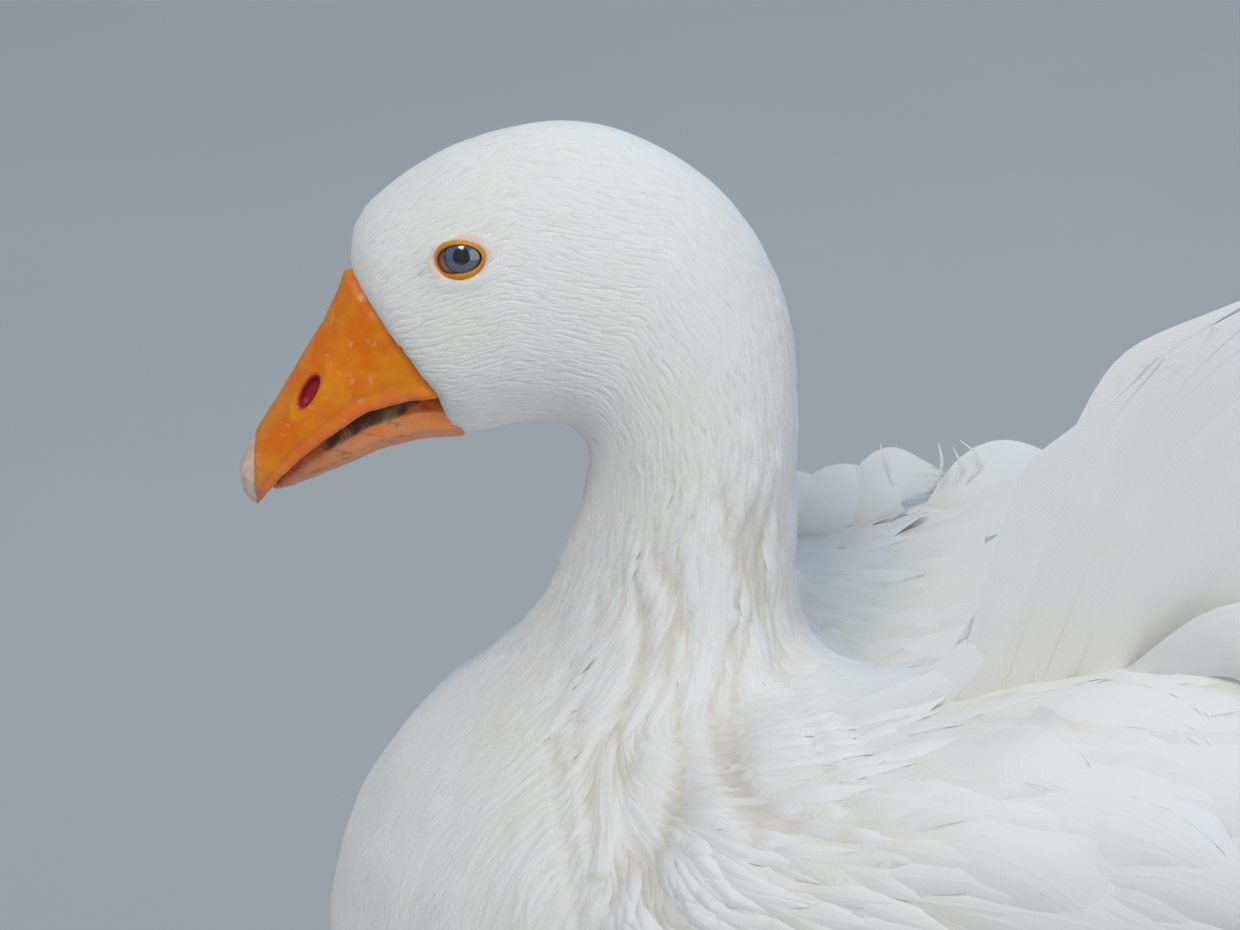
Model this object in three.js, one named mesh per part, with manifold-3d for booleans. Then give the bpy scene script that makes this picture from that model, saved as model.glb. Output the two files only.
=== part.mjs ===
// A white domestic goose of the loose-feathered kind, standing at ease, as a life-size model.
// Millimetres, +Z up. The goose faces -X and its left side is at -Y. The soles rest at Z = 0.
// The flesh is one loft from the brow to the rump, parted into head, neck and trunk by thin cuts.
// Wings are shells on that loft, and quills, plumes and tail feathers are thin curved blades.
import * as THREE from "three";
import { mergeVertices } from "three/addons/utils/BufferGeometryUtils.js";
import Module from "manifold-3d";

const wasm = await Module();
wasm.setup();

// ---------------------------------------------------------------- driving dimensions
const GAP = 0.36; // clearance between neighbouring pieces
const FAR = 900; // reach of a cutting block
const WEB_CURVE = 4; // pieces of the web's curved edge between two toes
const SIDES = { body: 20, bill: 14, limb: 10, toe: 6, claw: 5, blade: 4, eye: 12 };

// Sections of the flesh in the middle plane. Each is an oval from its low to its high point,
// [x, z], with half the body's width there, and pear > 0 where it is wider below than above.
const FLESH = [
  { low: [-62, 366], high: [-78, 402], half: 11, pear: 0.0 }, // under the bill's base
  { low: [-47, 372.5], high: [-71.4, 417], half: 17.2, pear: 0.1 }, // brow
  { low: [-43, 371.5], high: [-69, 430.8], half: 20.8, pear: 0.12 },
  { low: [-38.5, 371.5], high: [-59.6, 440.8], half: 23.8, pear: 0.14 },
  { low: [-31.5, 373.5], high: [-42.8, 451.4], half: 26.2, pear: 0.12 }, // eyes
  { low: [-23.5, 375.5], high: [-19.7, 457.6], half: 27.8, pear: 0.12 }, // crown
  { low: [-16.3, 375.5], high: [-0.7, 455.8], half: 28.6, pear: 0.1 },
  { low: [-11.8, 373.2], high: [17, 446.8], half: 29, pear: 0.06 },
  { low: [-9.2, 369.5], high: [29.3, 436.4], half: 29.2, pear: 0.03 }, // nape
  { low: [-8.6, 365], high: [38, 424.5], half: 29.4, pear: 0.0 },
  { low: [-9, 358.5], high: [45, 407.5], half: 29.8, pear: 0.0 },
  { low: [-11, 350.5], high: [48.6, 393], half: 30.4, pear: 0.0 }, // neck
  { low: [-14.8, 338.5], high: [50.4, 377], half: 31.6, pear: 0.0 },
  { low: [-20.5, 324], high: [50.8, 354], half: 34.5, pear: 0.0 },
  { low: [-28.5, 310.5], high: [51, 334], half: 40, pear: 0.0 },
  { low: [-43, 296], high: [55, 321.5], half: 52, pear: 0.0 }, // shoulders
  { low: [-62, 278], high: [62, 318], half: 68, pear: 0.0 },
  { low: [-75, 257], high: [73, 319], half: 83, pear: 0.0 },
  { low: [-80.5, 232], high: [87, 321], half: 93, pear: 0.0 }, // breast
  { low: [-78, 203], high: [103, 324], half: 100, pear: 0.02 },
  { low: [-63, 171], high: [121, 326], half: 104, pear: 0.04 },
  { low: [-28, 142], high: [141, 327], half: 106, pear: 0.06 },
  { low: [25, 120], high: [163, 327], half: 106, pear: 0.08 },
  { low: [85, 109], high: [186, 325], half: 104, pear: 0.08 }, // belly
  { low: [145, 107], high: [212, 321], half: 99, pear: 0.08 },
  { low: [202, 115], high: [240, 315], half: 91, pear: 0.06 },
  { low: [253, 136], high: [268, 306], half: 79, pear: 0.04 },
  { low: [296, 165], high: [295, 297], half: 65, pear: 0.02 },
  { low: [330, 195], high: [322, 288], half: 50, pear: 0.0 }, // rump
  { low: [356, 222], high: [346, 281], half: 40, pear: 0.0 },
  { low: [378, 243], high: [370, 276], half: 33, pear: 0.0 }, // tail coverts
  { low: [398, 258], high: [394, 274], half: 25, pear: 0.0 },
];
const FINE_SECTIONS = 8; // of the head, with a ring between each two
const HEAD_END = { at: [-8.9, 367], to: [34, 429] }; // throat and nape, where head and neck part
const NECK_END = { at: [-44, 295], to: [54, 320.5] }; // crop and withers, where neck and trunk part

// Feather line round the base of the bill: crown of the bill, corner of the mouth, chin.
const FEATHER_LINE = { culmen: [-70.8, 418], gape: [-47.4, 388], chin: [-45.8, 371] };
const UPPER_BILL = [
  { low: [-40, 392], high: [-68.5, 425], half: 17.4, arch: 1.12 },
  { low: [-47.4, 388.2], high: [-73, 411.5], half: 16.8, arch: 1.12 },
  { low: [-55, 386], high: [-77, 402.6], half: 15.8, arch: 1.08 },
  { low: [-65.5, 382.6], high: [-82.2, 394.2], half: 14.6, arch: 1.02 },
  { low: [-77, 374], high: [-88.4, 383.2], half: 13.2, arch: 0.95 },
  { low: [-83, 368.8], high: [-93, 375.6], half: 12.2, arch: 0.88 },
  { low: [-88.7, 362.7], high: [-97.2, 368.6], half: 10.8, arch: 0.84 },
  { low: [-92.4, 357.7], high: [-99.9, 362], half: 8.8, arch: 0.84 },
  { low: [-94.8, 353.6], high: [-99.3, 356.2], half: 5.4, arch: 0.88 },
  { low: [-96, 351.4], high: [-97.6, 352.2], half: 2, arch: 1 },
];
const LOWER_BILL = [
  { low: [-42, 372.5], high: [-42, 389], half: 15.2 },
  { low: [-54, 370.5], high: [-55, 386.5], half: 13.8 },
  { low: [-62.5, 367.8], high: [-66, 382.8], half: 12.6 },
  { low: [-70.2, 364], high: [-77.4, 374.4], half: 11.2 },
  { low: [-79, 360.2], high: [-84.4, 367.8], half: 9.6 },
  { low: [-85.6, 357.4], high: [-89.4, 362], half: 7.6 },
  { low: [-90, 356], high: [-92, 358.4], half: 4.6 },
];
const NAIL = { behind: -95.5, proud: 0.25 }; // hard tip of the upper bill, ahead of this X
const BILL_CUT = { ahead: -140, side: 60 }; // reach of the block that parts bill from feathers
const NOSTRIL = { at: [-80.8, 386.4], side: 10.4, half: [5.5, 1.9, 1.7], slope: 60 };

// The left eye: a point of its surface, the ball's radius, and the turn of its gaze in degrees.
const EYE = { at: [-40.2, -23.4, 428.6], radius: 8.4, ahead: 8, up: 17, slope: 5 };
const EYELID = { half: [6.35, 4.95], tube: 1.0, over: 1.36 };

const WING = {
  inner: 1.5, // half the gap between the two wings along the back
  edge: 4, // thickness at the rim
  thick: 18, // thickness amid the coverts
  ridge: { lift: 28, at: 64, spread: 28 }, // scapular pile beside the back
  pile: { front: [-5, 75], rear: [200, 320], foot: [250, 290] }, // where that pile rises and ends
  swell: { front: [-14, 44], rear: [285, 372], above: [-6, 52] }, // where the coverts thicken
  neck: { from: 270, slope: 0.9, side: [30, 60] }, // how the front edge leans back beside the neck
  inward: [0, 34], // the shell thins from here to the middle of the back
  rim: 0.4, // share of the edge's thickness at the middle of the back
  reach: 240, // how far out the cutting outline goes
  front: [
    [72, 440],
    [69, 334],
    [50, 322],
    [22, 308],
    [2, 287],
    [-5, 262],
    [3, 236],
    [24, 211],
  ],
  tips: { from: [24, 211], lowest: [190, 160], to: [346, 236], count: 8, hang: 14.4, bulge: 0.35 },
  rear: [
    [358, 262],
    [350, 292],
    [330, 440],
  ],
};
// Long loose feathers that hang below the wing.
const RIBBON = {
  count: 6,
  first: 58, // X of the foremost
  pitch: 39,
  root: 224,
  drop: 90,
  sweep: 48, // how far back the tips hang
  width: 43,
  thick: 3.4,
  side: { at: 116, in: 20, root: 6, middle: -1, tip: 4 }, // out from the middle plane
  rise: 26, // how much higher the end ones hang
  stagger: 9,
  lean: 0.3,
};
// Folded quills that cross over the rump.
const QUILLS = {
  count: 3,
  width: 38,
  thick: 4.5,
  across: [0.1, 0.62, 0.78],
  // The outermost one's places, and the step from each one to the next.
  root: { at: [228, -66, 300], step: [8, 12, 5] },
  middle: { at: [312, -46, 300], step: [6, 11, 3] },
  tip: { at: [396, -27, 290], step: [12, 7, 5] },
};
// Raised scapular plumes of the left side: root, peak and tip as [x, side, z], with their width.
const PLUMES = [
  { root: [91, 63, 322], peak: [116, 65, 370], tip: [140, 67, 416], width: 42 },
  { root: [106, 64.5, 321], peak: [136, 66.5, 388], tip: [182, 69, 440], width: 50 },
  { root: [124, 66, 320], peak: [164, 68, 399], tip: [228, 71, 440], width: 54 },
  { root: [145, 67.5, 319], peak: [194, 69.5, 391], tip: [266, 73, 414], width: 54 },
  { root: [168, 69, 318], peak: [222, 71, 367], tip: [296, 75, 372], width: 50 },
];
const PLUME = { thick: 5, waist: 0.8, across: [0.8, 0, -0.6] };
const BLADE = { widest: 0.62, taper: 0.4, blunt: 0.04, waist: 0.55 }; // outline of any long feather

const TAIL = {
  count: 11,
  root: [330, 0, 263],
  length: 136,
  width: 33,
  thick: 3,
  spread: 30, // degrees to each side
  rise: 9, // degrees above the level
  droop: 12, // the outer feathers' fall below the middle ones
  shorter: 0.12, // share by which the outer ones are shorter
  fan: 14, // half the spread of the roots
  level: 0.35, // how much the rise eases towards the tips
  lean: -0.25,
  waist: 0.7,
};

const LEG = { side: 58 }; // of the feet from the middle plane
const THIGH = [
  { at: [146, 62, 190], half: [54, 36] },
  { at: [150, 61, 150], half: [46, 33] },
  { at: [158, 60, 124], half: [32, 25] },
  { at: [167, 59, 106], half: [18, 15] },
  { at: [172, 58.5, 97], half: [11.5, 9.8] },
];
const SHANK = [
  { at: [174, 58.2, 96.6], half: [9.2, 7.2] },
  { at: [176, 58, 87], half: [9.8, 8] },
  { at: [172.5, 58, 76], half: [7.6, 6.2] },
  { at: [168.5, 58, 58], half: [6.6, 5.2] },
  { at: [164.5, 58, 34], half: [6.8, 5.4] },
  { at: [161.5, 58, 20.4], half: [8.4, 6.8] },
];
const FOOT = {
  ball: { at: [160, 10.5], half: [11.5, 9.2, 9.8] },
  // Front toes: bearing from straight ahead, length and radius at the root. Outer, middle, inner.
  toes: [
    { name: "outer", bearing: 27, length: 76, radius: 5.4 },
    { name: "middle", bearing: 1, length: 88, radius: 5.8 },
    { name: "inner", bearing: -26, length: 68, radius: 5.2 },
  ],
  hind: { bearing: -160, length: 21, radius: 3.6, lift: 19 },
  joints: 3,
  swell: 0.16,
  taper: 0.42,
  seat: 0.78, // height of a toe's middle line over the ground, as a share of its radius
  tip: { at: 0.97, size: 0.72 }, // end of a toe and its rounding
  sink: 1.2, // how much lower the ball's middle is than its half height
  web: { thick: 2.6, above: 0.5, hollow: 0.32, to: 0.93, heel: 2 },
  claw: { length: 10, radius: 2.5, bend: 3.4, taper: 0.82, steps: 2, rise: 0.5, rest: [0.9, 0.15] },
};

// Colours and surface of each kind of piece.
const FINISH = {
  feather: { color: 0xf1eee6, roughness: 0.75 },
  bill: { color: 0xf07a12, roughness: 0.35 },
  nail: { color: 0xe0c3ae, roughness: 0.4 },
  eyelid: { color: 0xeba21c, roughness: 0.5 },
  eye: { color: 0x4f6484, roughness: 0.08 },
  leg: { color: 0xe9711a, roughness: 0.5 },
  claw: { color: 0xcfb8a0, roughness: 0.4 },
};

// ---------------------------------------------------------------- small helpers
const vec = (x, y, z) => new THREE.Vector3(x, y, z);
const rad = THREE.MathUtils.degToRad;
const clamp = THREE.MathUtils.clamp;
const power = (v, e) => Math.sign(v) * Math.abs(v) ** e;
const smooth = (v, from, to) => THREE.MathUtils.smoothstep(v, from, to);
const bump = (v, at, spread) => Math.exp(-(((v - at) / spread) ** 2));

// A closed geometry through rings of equally many points, with its two ends closed by fans.
function closeRings(rings) {
  const sides = rings[0].length;
  const points = rings.flat();
  const faces = [];
  for (let r = 0; r + 1 < rings.length; r++) {
    for (let k = 0; k < sides; k++) {
      const a = r * sides + k;
      const b = r * sides + ((k + 1) % sides);
      faces.push(a, b, b + sides, a, b + sides, a + sides);
    }
  }
  const middle = (ring) => ring.reduce((sum, p) => sum.add(p), vec(0, 0, 0)).divideScalar(sides);
  const [first, last] = [points.length, points.length + 1];
  const lastRing = (rings.length - 1) * sides;
  points.push(middle(rings[0]), middle(rings.at(-1)));
  for (let k = 0; k < sides; k++) {
    const next = (k + 1) % sides;
    faces.push(first, next, k, last, lastRing + k, lastRing + next);
  }
  return indexed(points, faces);
}

function indexed(points, faces) {
  const geometry = new THREE.BufferGeometry().setFromPoints(points);
  geometry.setIndex(faces);
  return geometry;
}

// A manifold-3d solid of a closed geometry, turned the right way round if its faces point in.
function solidOf(geometry) {
  const bare = geometry.clone();
  bare.deleteAttribute("normal");
  bare.deleteAttribute("uv");
  const merged = mergeVertices(bare, 1e-4);
  const build = (triVerts) =>
    new wasm.Manifold(
      new wasm.Mesh({ numProp: 3, vertProperties: merged.attributes.position.array, triVerts }),
    );
  const triVerts = new Uint32Array(merged.index.array);
  const made = build(triVerts);
  return made.volume() > 0 ? made : build(triVerts.reverse());
}

const union = (solids) => solids.reduce((all, one) => all.add(one));

// The largest of the bodies that a cut has left.
function mainBody(solid) {
  return solid.decompose().reduce((best, one) => (one.volume() > best.volume() ? one : best));
}

// Everything on the side of a plane that its normal points to.
function halfSpace(point, normal) {
  const block = new THREE.BoxGeometry(FAR, FAR, FAR).translate(0, 0, FAR / 2);
  const turn = new THREE.Quaternion().setFromUnitVectors(vec(0, 0, 1), normal.clone().normalize());
  return solidOf(block.applyQuaternion(turn).translate(point.x, point.y, point.z));
}

// Parts a solid by a plane square to the middle plane, through at and to, [x, z], with a thin gap.
function part(solid, { at, to }) {
  const along = vec(to[0] - at[0], 0, to[1] - at[1]);
  const normal = along.cross(vec(0, 1, 0)).normalize();
  const point = vec(at[0], 0, at[1]);
  const shift = normal.clone().multiplyScalar(GAP / 2);
  const ahead = halfSpace(point.clone().add(shift), normal);
  const behind = halfSpace(point.clone().sub(shift), normal.clone().negate());
  return [solid.intersect(ahead), solid.intersect(behind)];
}

// An outline in the middle plane, [x, z] points, thickened from one side position to another.
function prism(outline, fromY, toY) {
  const drawn = outline instanceof THREE.Shape;
  const shape = drawn ? outline : new THREE.Shape(outline.map((p) => new THREE.Vector2(...p)));
  const settings = { depth: toY - fromY, bevelEnabled: false, curveSegments: 3 };
  const body = new THREE.ExtrudeGeometry(shape, settings);
  return solidOf(body.rotateX(Math.PI / 2).translate(0, toY, 0));
}

const mirrored = (solid) => solid.mirror([0, 1, 0]);

// ---------------------------------------------------------------- flesh
// An oval section through low and high, wider below where pear > 0. Angle 0 is its high point.
function ovalRing(section, sides, grow = () => 0) {
  const low = vec(section.low[0], 0, section.low[1]);
  const high = vec(section.high[0], 0, section.high[1]);
  const middle = low.clone().add(high).multiplyScalar(0.5);
  const up = high.clone().sub(middle);
  const height = up.length();
  up.normalize();
  return Array.from({ length: sides }, (_, k) => {
    const angle = (2 * Math.PI * k) / sides;
    const rise = height * Math.cos(angle);
    const out = section.half * Math.sin(angle) * (1 - section.pear * Math.cos(angle));
    const point = middle.clone().addScaledVector(up, rise);
    point.y += out;
    const outward = up.clone().multiplyScalar(rise / height ** 2);
    outward.y += out / section.half ** 2;
    return point.addScaledVector(outward.normalize(), grow(point));
  });
}

// Smooth stations between the sections of a table, by curves through their low and high points.
// The first fine sections get a station between each two.
function between(table, fine = table.length) {
  const track = (pick) => new THREE.CatmullRomCurve3(table.map(pick), false, "catmullrom", 0.5);
  const low = track((s) => vec(s.low[0], 0, s.low[1]));
  const high = track((s) => vec(s.high[0], 0, s.high[1]));
  const size = track((s) => vec(s.half, s.pear ?? 0, s.arch ?? 1));
  const last = table.length - 1;
  const places = table.flatMap((_, i) => (i < Math.min(fine, last) ? [i, i + 0.5] : [i]));
  return places.map((place) => {
    const t = place / last;
    const [a, b, c] = [low.getPoint(t), high.getPoint(t), size.getPoint(t)];
    return { low: [a.x, a.z], high: [b.x, b.z], half: c.x, pear: c.y, arch: c.z };
  });
}

function fleshSolid(grow) {
  const stations = between(FLESH, FINE_SECTIONS);
  return solidOf(closeRings(stations.map((s) => ovalRing(s, SIDES.body, grow))));
}

// Everything ahead of the feather line, moved forward by the given amount.
function aheadOfFeathers(forward) {
  const { culmen, gape, chin } = FEATHER_LINE;
  const outline = [
    [culmen[0] - 4, culmen[1] + 12],
    culmen,
    gape,
    chin,
    [chin[0] + 1, chin[1] - 14],
    [BILL_CUT.ahead, chin[1] - 40],
    [BILL_CUT.ahead, culmen[1] + 12],
  ];
  const moved = outline.map(([x, z]) => [x - forward, z]);
  return prism(moved, -BILL_CUT.side, BILL_CUT.side);
}

// ---------------------------------------------------------------- bill
// A section of the upper bill: an arch over a flat palate. arch > 1 makes it more pointed.
function archRing(section, sides, grow = 0) {
  const low = vec(section.low[0], 0, section.low[1]);
  const up = vec(section.high[0], 0, section.high[1]).sub(low);
  const height = up.length() + grow;
  const half = section.half + grow;
  up.normalize();
  const arc = sides - 2;
  const points = Array.from({ length: arc + 1 }, (_, k) => {
    const angle = (Math.PI * k) / arc - Math.PI / 2;
    const rise = height * power(Math.max(Math.cos(angle), 0), section.arch);
    const point = low.clone().addScaledVector(up, rise);
    point.y = half * Math.sin(angle);
    return point;
  });
  points.push(low.clone());
  return points.map((p) => p.addScaledVector(up, -grow));
}

function upperBillSolid(grow = 0) {
  const stations = between(UPPER_BILL, 0);
  return solidOf(closeRings(stations.map((s) => archRing(s, SIDES.bill, grow))));
}

function lowerBillSolid() {
  const stations = between(LOWER_BILL, 0);
  return solidOf(closeRings(stations.map((s) => ovalRing(s, SIDES.bill - 4))));
}

// A nostril's hollow, an oval whose long axis follows the bill's slope.
function nostrilSolid(side) {
  const oval = new THREE.SphereGeometry(1, 10, 6).scale(...NOSTRIL.half);
  oval.rotateY(rad(-NOSTRIL.slope)).translate(NOSTRIL.at[0], side * NOSTRIL.side, NOSTRIL.at[1]);
  return solidOf(oval);
}

// ---------------------------------------------------------------- eyes
// Places a solid made round the origin, gazing along +Z, at the left eye.
function atEye(geometry) {
  const gaze = vec(0, 0, 1);
  gaze.applyEuler(new THREE.Euler(rad(90 - EYE.up), 0, 0)).applyAxisAngle(vec(0, 0, 1), rad(-EYE.ahead));
  const ahead = vec(-Math.cos(rad(EYE.slope)), 0, -Math.sin(rad(EYE.slope)));
  const upward = gaze.clone().cross(ahead).normalize();
  const across = upward.clone().cross(gaze).normalize();
  const middle = vec(...EYE.at).addScaledVector(gaze, -EYE.radius);
  const turn = new THREE.Matrix4().makeBasis(across, upward, gaze).setPosition(middle);
  return solidOf(geometry.applyMatrix4(turn));
}

function eyeSolid(grow = 0) {
  return atEye(new THREE.SphereGeometry(EYE.radius + grow, SIDES.eye, 8).rotateX(Math.PI / 2));
}

// A fleshy ring that lies on the eyeball round its opening.
function eyelidSolid(grow = 0) {
  const unit = 0.4; // tube radius of the ring before it is fitted
  const ring = new THREE.TorusGeometry(1, unit, 5, SIDES.eye);
  const places = ring.attributes.position;
  const tube = EYELID.tube + grow;
  const onBall = EYE.radius + EYELID.over;
  for (let i = 0; i < places.count; i++) {
    const reach = Math.hypot(places.getX(i), places.getY(i));
    const [dx, dy] = [places.getX(i) / reach, places.getY(i) / reach];
    const out = ((reach - 1) / unit) * tube;
    const [halfX, halfY] = EYELID.half;
    const depth = Math.sqrt(onBall ** 2 - (dx * halfX) ** 2 - (dy * halfY) ** 2);
    places.setXYZ(i, dx * (halfX + out), dy * (halfY + out), depth + (places.getZ(i) / unit) * tube);
  }
  return atEye(ring);
}

// ---------------------------------------------------------------- blades: quills, plumes, tail
// A thin feather along a curve. across gives its width direction, and cup bends its edges down.
function bladeSolid({ curve, width, thick, across, steps = 4, waist = BLADE.waist, grow = 0 }) {
  const { widest, taper, blunt } = BLADE;
  const rings = Array.from({ length: steps + 1 }, (_, i) => {
    const t = i / steps;
    const tip = Math.sqrt(clamp(1 - ((t - widest) / taper) ** 2, blunt, 1));
    const share = t < widest ? waist + (1 - waist) * smooth(t, 0, widest) : tip;
    const half = (width / 2) * share + grow;
    const middle = curve.getPoint(t);
    const ahead = curve.getTangent(t);
    const side = across.clone().addScaledVector(ahead, -across.dot(ahead)).normalize();
    const up = side.clone().cross(ahead).normalize();
    return Array.from({ length: SIDES.blade }, (_, k) => {
      const angle = (2 * Math.PI * k) / SIDES.blade;
      return middle
        .clone()
        .addScaledVector(side, half * Math.cos(angle))
        .addScaledVector(up, (thick / 2 + grow) * Math.sin(angle));
    });
  });
  return solidOf(closeRings(rings));
}

const curveThrough = (...points) => new THREE.CatmullRomCurve3(points.map((p) => vec(...p)));

function tailSolid(grow = 0) {
  const { root, length, count, width, thick, waist } = TAIL;
  const blades = Array.from({ length: count }, (_, i) => {
    const share = (2 * i) / (count - 1) - 1;
    const turn = rad(TAIL.spread * share);
    const reach = length * (1 - TAIL.shorter * share ** 2);
    const level = root[2] - TAIL.droop * share ** 2;
    const at = (t) => [
      root[0] + reach * t * Math.cos(turn),
      root[1] + TAIL.fan * share + reach * t * Math.sin(turn),
      level + reach * t * Math.sin(rad(TAIL.rise)) * (1 - TAIL.level * t),
    ];
    const curve = curveThrough(at(0), at(0.5), at(1));
    const across = vec(-Math.sin(turn), Math.cos(turn), TAIL.lean * share);
    return bladeSolid({ curve, width, thick, across, waist, steps: 3, grow });
  });
  return union(blades);
}

// Quills folded along the left flank, stacked from the outer one in towards the rump.
function quillsSolid(grow = 0) {
  const { count, width, thick, root, middle, tip } = QUILLS;
  const blades = Array.from({ length: count }, (_, i) => {
    const places = [root, middle, tip].map(({ at, step }) => at.map((v, k) => v + step[k] * i));
    const across = vec(...QUILLS.across);
    return bladeSolid({ curve: curveThrough(...places), width, thick, across, grow });
  });
  return union(blades);
}

function plumesSolid() {
  const blades = PLUMES.map(({ root, peak, tip, width }) => {
    const at = ([x, side, z]) => [x, -side, z];
    const curve = curveThrough(at(root), at(peak), at(tip));
    const { thick, waist } = PLUME;
    return bladeSolid({ curve, width, thick, across: vec(...PLUME.across), waist });
  });
  return union(blades);
}

// ---------------------------------------------------------------- wings
// Height of the wing's lower edge at a place along the body.
function wingEdge(x) {
  const { from, lowest, to } = WING.tips;
  const end = x < lowest[0] ? from : to;
  const share = (x - lowest[0]) / (end[0] - lowest[0]);
  return lowest[1] + (end[1] - lowest[1]) * clamp(share, 0, 1.1) ** 2;
}

// How far the wing stands out of the flesh at a point on the flesh.
function wingDepth(point) {
  const { ridge, pile, swell, neck, edge, thick, rim } = WING;
  const out = Math.abs(point.y);
  const byNeck = neck.slope * Math.max(point.z - neck.from, 0) * (1 - smooth(out, ...neck.side));
  const along = smooth(point.x - byNeck, ...swell.front) * (1 - smooth(point.x, ...swell.rear));
  const up = smooth(point.z - wingEdge(point.x), ...swell.above);
  const inward = smooth(out, ...WING.inward);
  const length = smooth(point.x, ...pile.front) * (1 - smooth(point.x, ...pile.rear));
  const heap = ridge.lift * bump(out, ridge.at, ridge.spread) * length * smooth(point.z, ...pile.foot);
  return edge * (rim + (1 - rim) * inward) + ((thick - edge) * along * up + heap) * inward;
}

// The wing's outline from the side, its lower edge scalloped by the covert tips.
function wingOutline() {
  const { tips, front, rear } = WING;
  const shape = new THREE.Shape(front.map((p) => new THREE.Vector2(...p)));
  const span = tips.to[0] - tips.from[0];
  for (let i = 1; i <= tips.count; i++) {
    const x = tips.from[0] + (span * i) / tips.count;
    const bulge = x - (tips.bulge * span) / tips.count;
    shape.quadraticCurveTo(bulge, wingEdge(bulge) - tips.hang, x, wingEdge(x));
  }
  rear.forEach((p) => shape.lineTo(...p));
  return shape;
}

function ribbonsSolid(grow = 0) {
  const { count, root, sweep, side, width, thick } = RIBBON;
  const blades = Array.from({ length: count }, (_, i) => {
    const x = RIBBON.first + RIBBON.pitch * i;
    const share = (2 * i) / (count - 1) - 0.9;
    const bow = side.at - side.in * share ** 2;
    const low = root - RIBBON.drop + RIBBON.rise * share ** 2 + RIBBON.stagger * (i % 2);
    const curve = curveThrough(
      [x, -bow + side.root, root],
      [x + sweep * 0.5, -bow + side.middle, (root + low) / 2],
      [x + sweep, -bow + side.tip, low],
    );
    return bladeSolid({ curve, width, thick, across: vec(1, 0, RIBBON.lean), steps: 3, grow });
  });
  return union(blades);
}

// The left wing: a shell on the flesh, within its outline, with the ribbons that hang from it.
function wingSolid(grow = 0) {
  const block = prism(wingOutline(), -WING.reach, -WING.inner);
  const shell = fleshSolid((p) => wingDepth(p) + grow).intersect(block);
  return shell.add(ribbonsSolid(grow));
}

// ---------------------------------------------------------------- legs
// A limb through level ovals: each has its middle at [x, side, z] and its half length and width.
function limbSolid(table, side, grow = 0) {
  const rings = table.map(({ at, half }) =>
    Array.from({ length: SIDES.limb }, (_, k) => {
      const angle = (2 * Math.PI * k) / SIDES.limb;
      const [rx, ry] = [half[0] + grow, half[1] + grow];
      return vec(at[0] + rx * Math.cos(angle), side * at[1] + ry * Math.sin(angle), at[2]);
    }),
  );
  return solidOf(closeRings(rings));
}

// Where a toe of one foot is at a share t of its length.
function toePoint(toe, side, t) {
  const turn = rad(toe.bearing);
  const reach = toe.length * t;
  const x = FOOT.ball.at[0] - reach * Math.cos(turn);
  const y = side * (LEG.side + reach * Math.sin(turn));
  return vec(x, y, 0);
}

const toeRadius = (toe, t) => {
  const joint = Math.cos(2 * Math.PI * FOOT.joints * t);
  return toe.radius * (1 - FOOT.taper * t) * (1 + FOOT.swell * (joint - 1) * 0.5);
};

function toeSolid(toe, side) {
  const steps = FOOT.joints * 2;
  const turn = rad(toe.bearing);
  const across = vec(Math.sin(turn), side * Math.cos(turn), 0);
  const rings = Array.from({ length: steps + 1 }, (_, i) => {
    const t = (i / steps) * FOOT.tip.at;
    const radius = toeRadius(toe, t) * (i === steps ? FOOT.tip.size : 1);
    const lift = (toe.lift ?? 0) * (1 - t) + radius * FOOT.seat;
    const middle = toePoint(toe, side, t).setZ(lift);
    return Array.from({ length: SIDES.toe }, (_, k) => {
      const angle = (2 * Math.PI * k) / SIDES.toe;
      return middle
        .clone()
        .addScaledVector(across, radius * Math.cos(angle))
        .add(vec(0, 0, radius * Math.sin(angle)));
    });
  });
  return solidOf(closeRings(rings));
}

// The web between the front toes, hollowed between their tips.
function webSolid(side) {
  const { thick, above, hollow, to } = FOOT.web;
  const ends = FOOT.toes.map((toe) => toePoint(toe, side, to));
  const heel = vec(FOOT.ball.at[0] + FOOT.web.heel, side * LEG.side, 0);
  const shape = new THREE.Shape([heel, ends[0]].map((p) => new THREE.Vector2(p.x, p.y)));
  for (let i = 1; i < ends.length; i++) {
    const pull = ends[i - 1].clone().add(ends[i]).multiplyScalar(0.5).lerp(heel, hollow);
    shape.quadraticCurveTo(pull.x, pull.y, ends[i].x, ends[i].y);
  }
  const settings = { depth: thick, bevelEnabled: false, curveSegments: WEB_CURVE };
  return solidOf(new THREE.ExtrudeGeometry(shape, settings).translate(0, 0, above));
}

function footSolid(side) {
  const { ball, toes, hind } = FOOT;
  const pad = new THREE.SphereGeometry(1, 8, 5).scale(ball.half[0], ball.half[1], ball.half[2]);
  const joint = solidOf(pad.translate(ball.at[0], side * LEG.side, ball.at[1] - FOOT.sink));
  const pieces = [joint, webSolid(side), ...toes.map((toe) => toeSolid(toe, side)), toeSolid(hind, side)];
  return union(pieces).intersect(halfSpace(vec(0, 0, 0), vec(0, 0, 1)));
}

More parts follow.
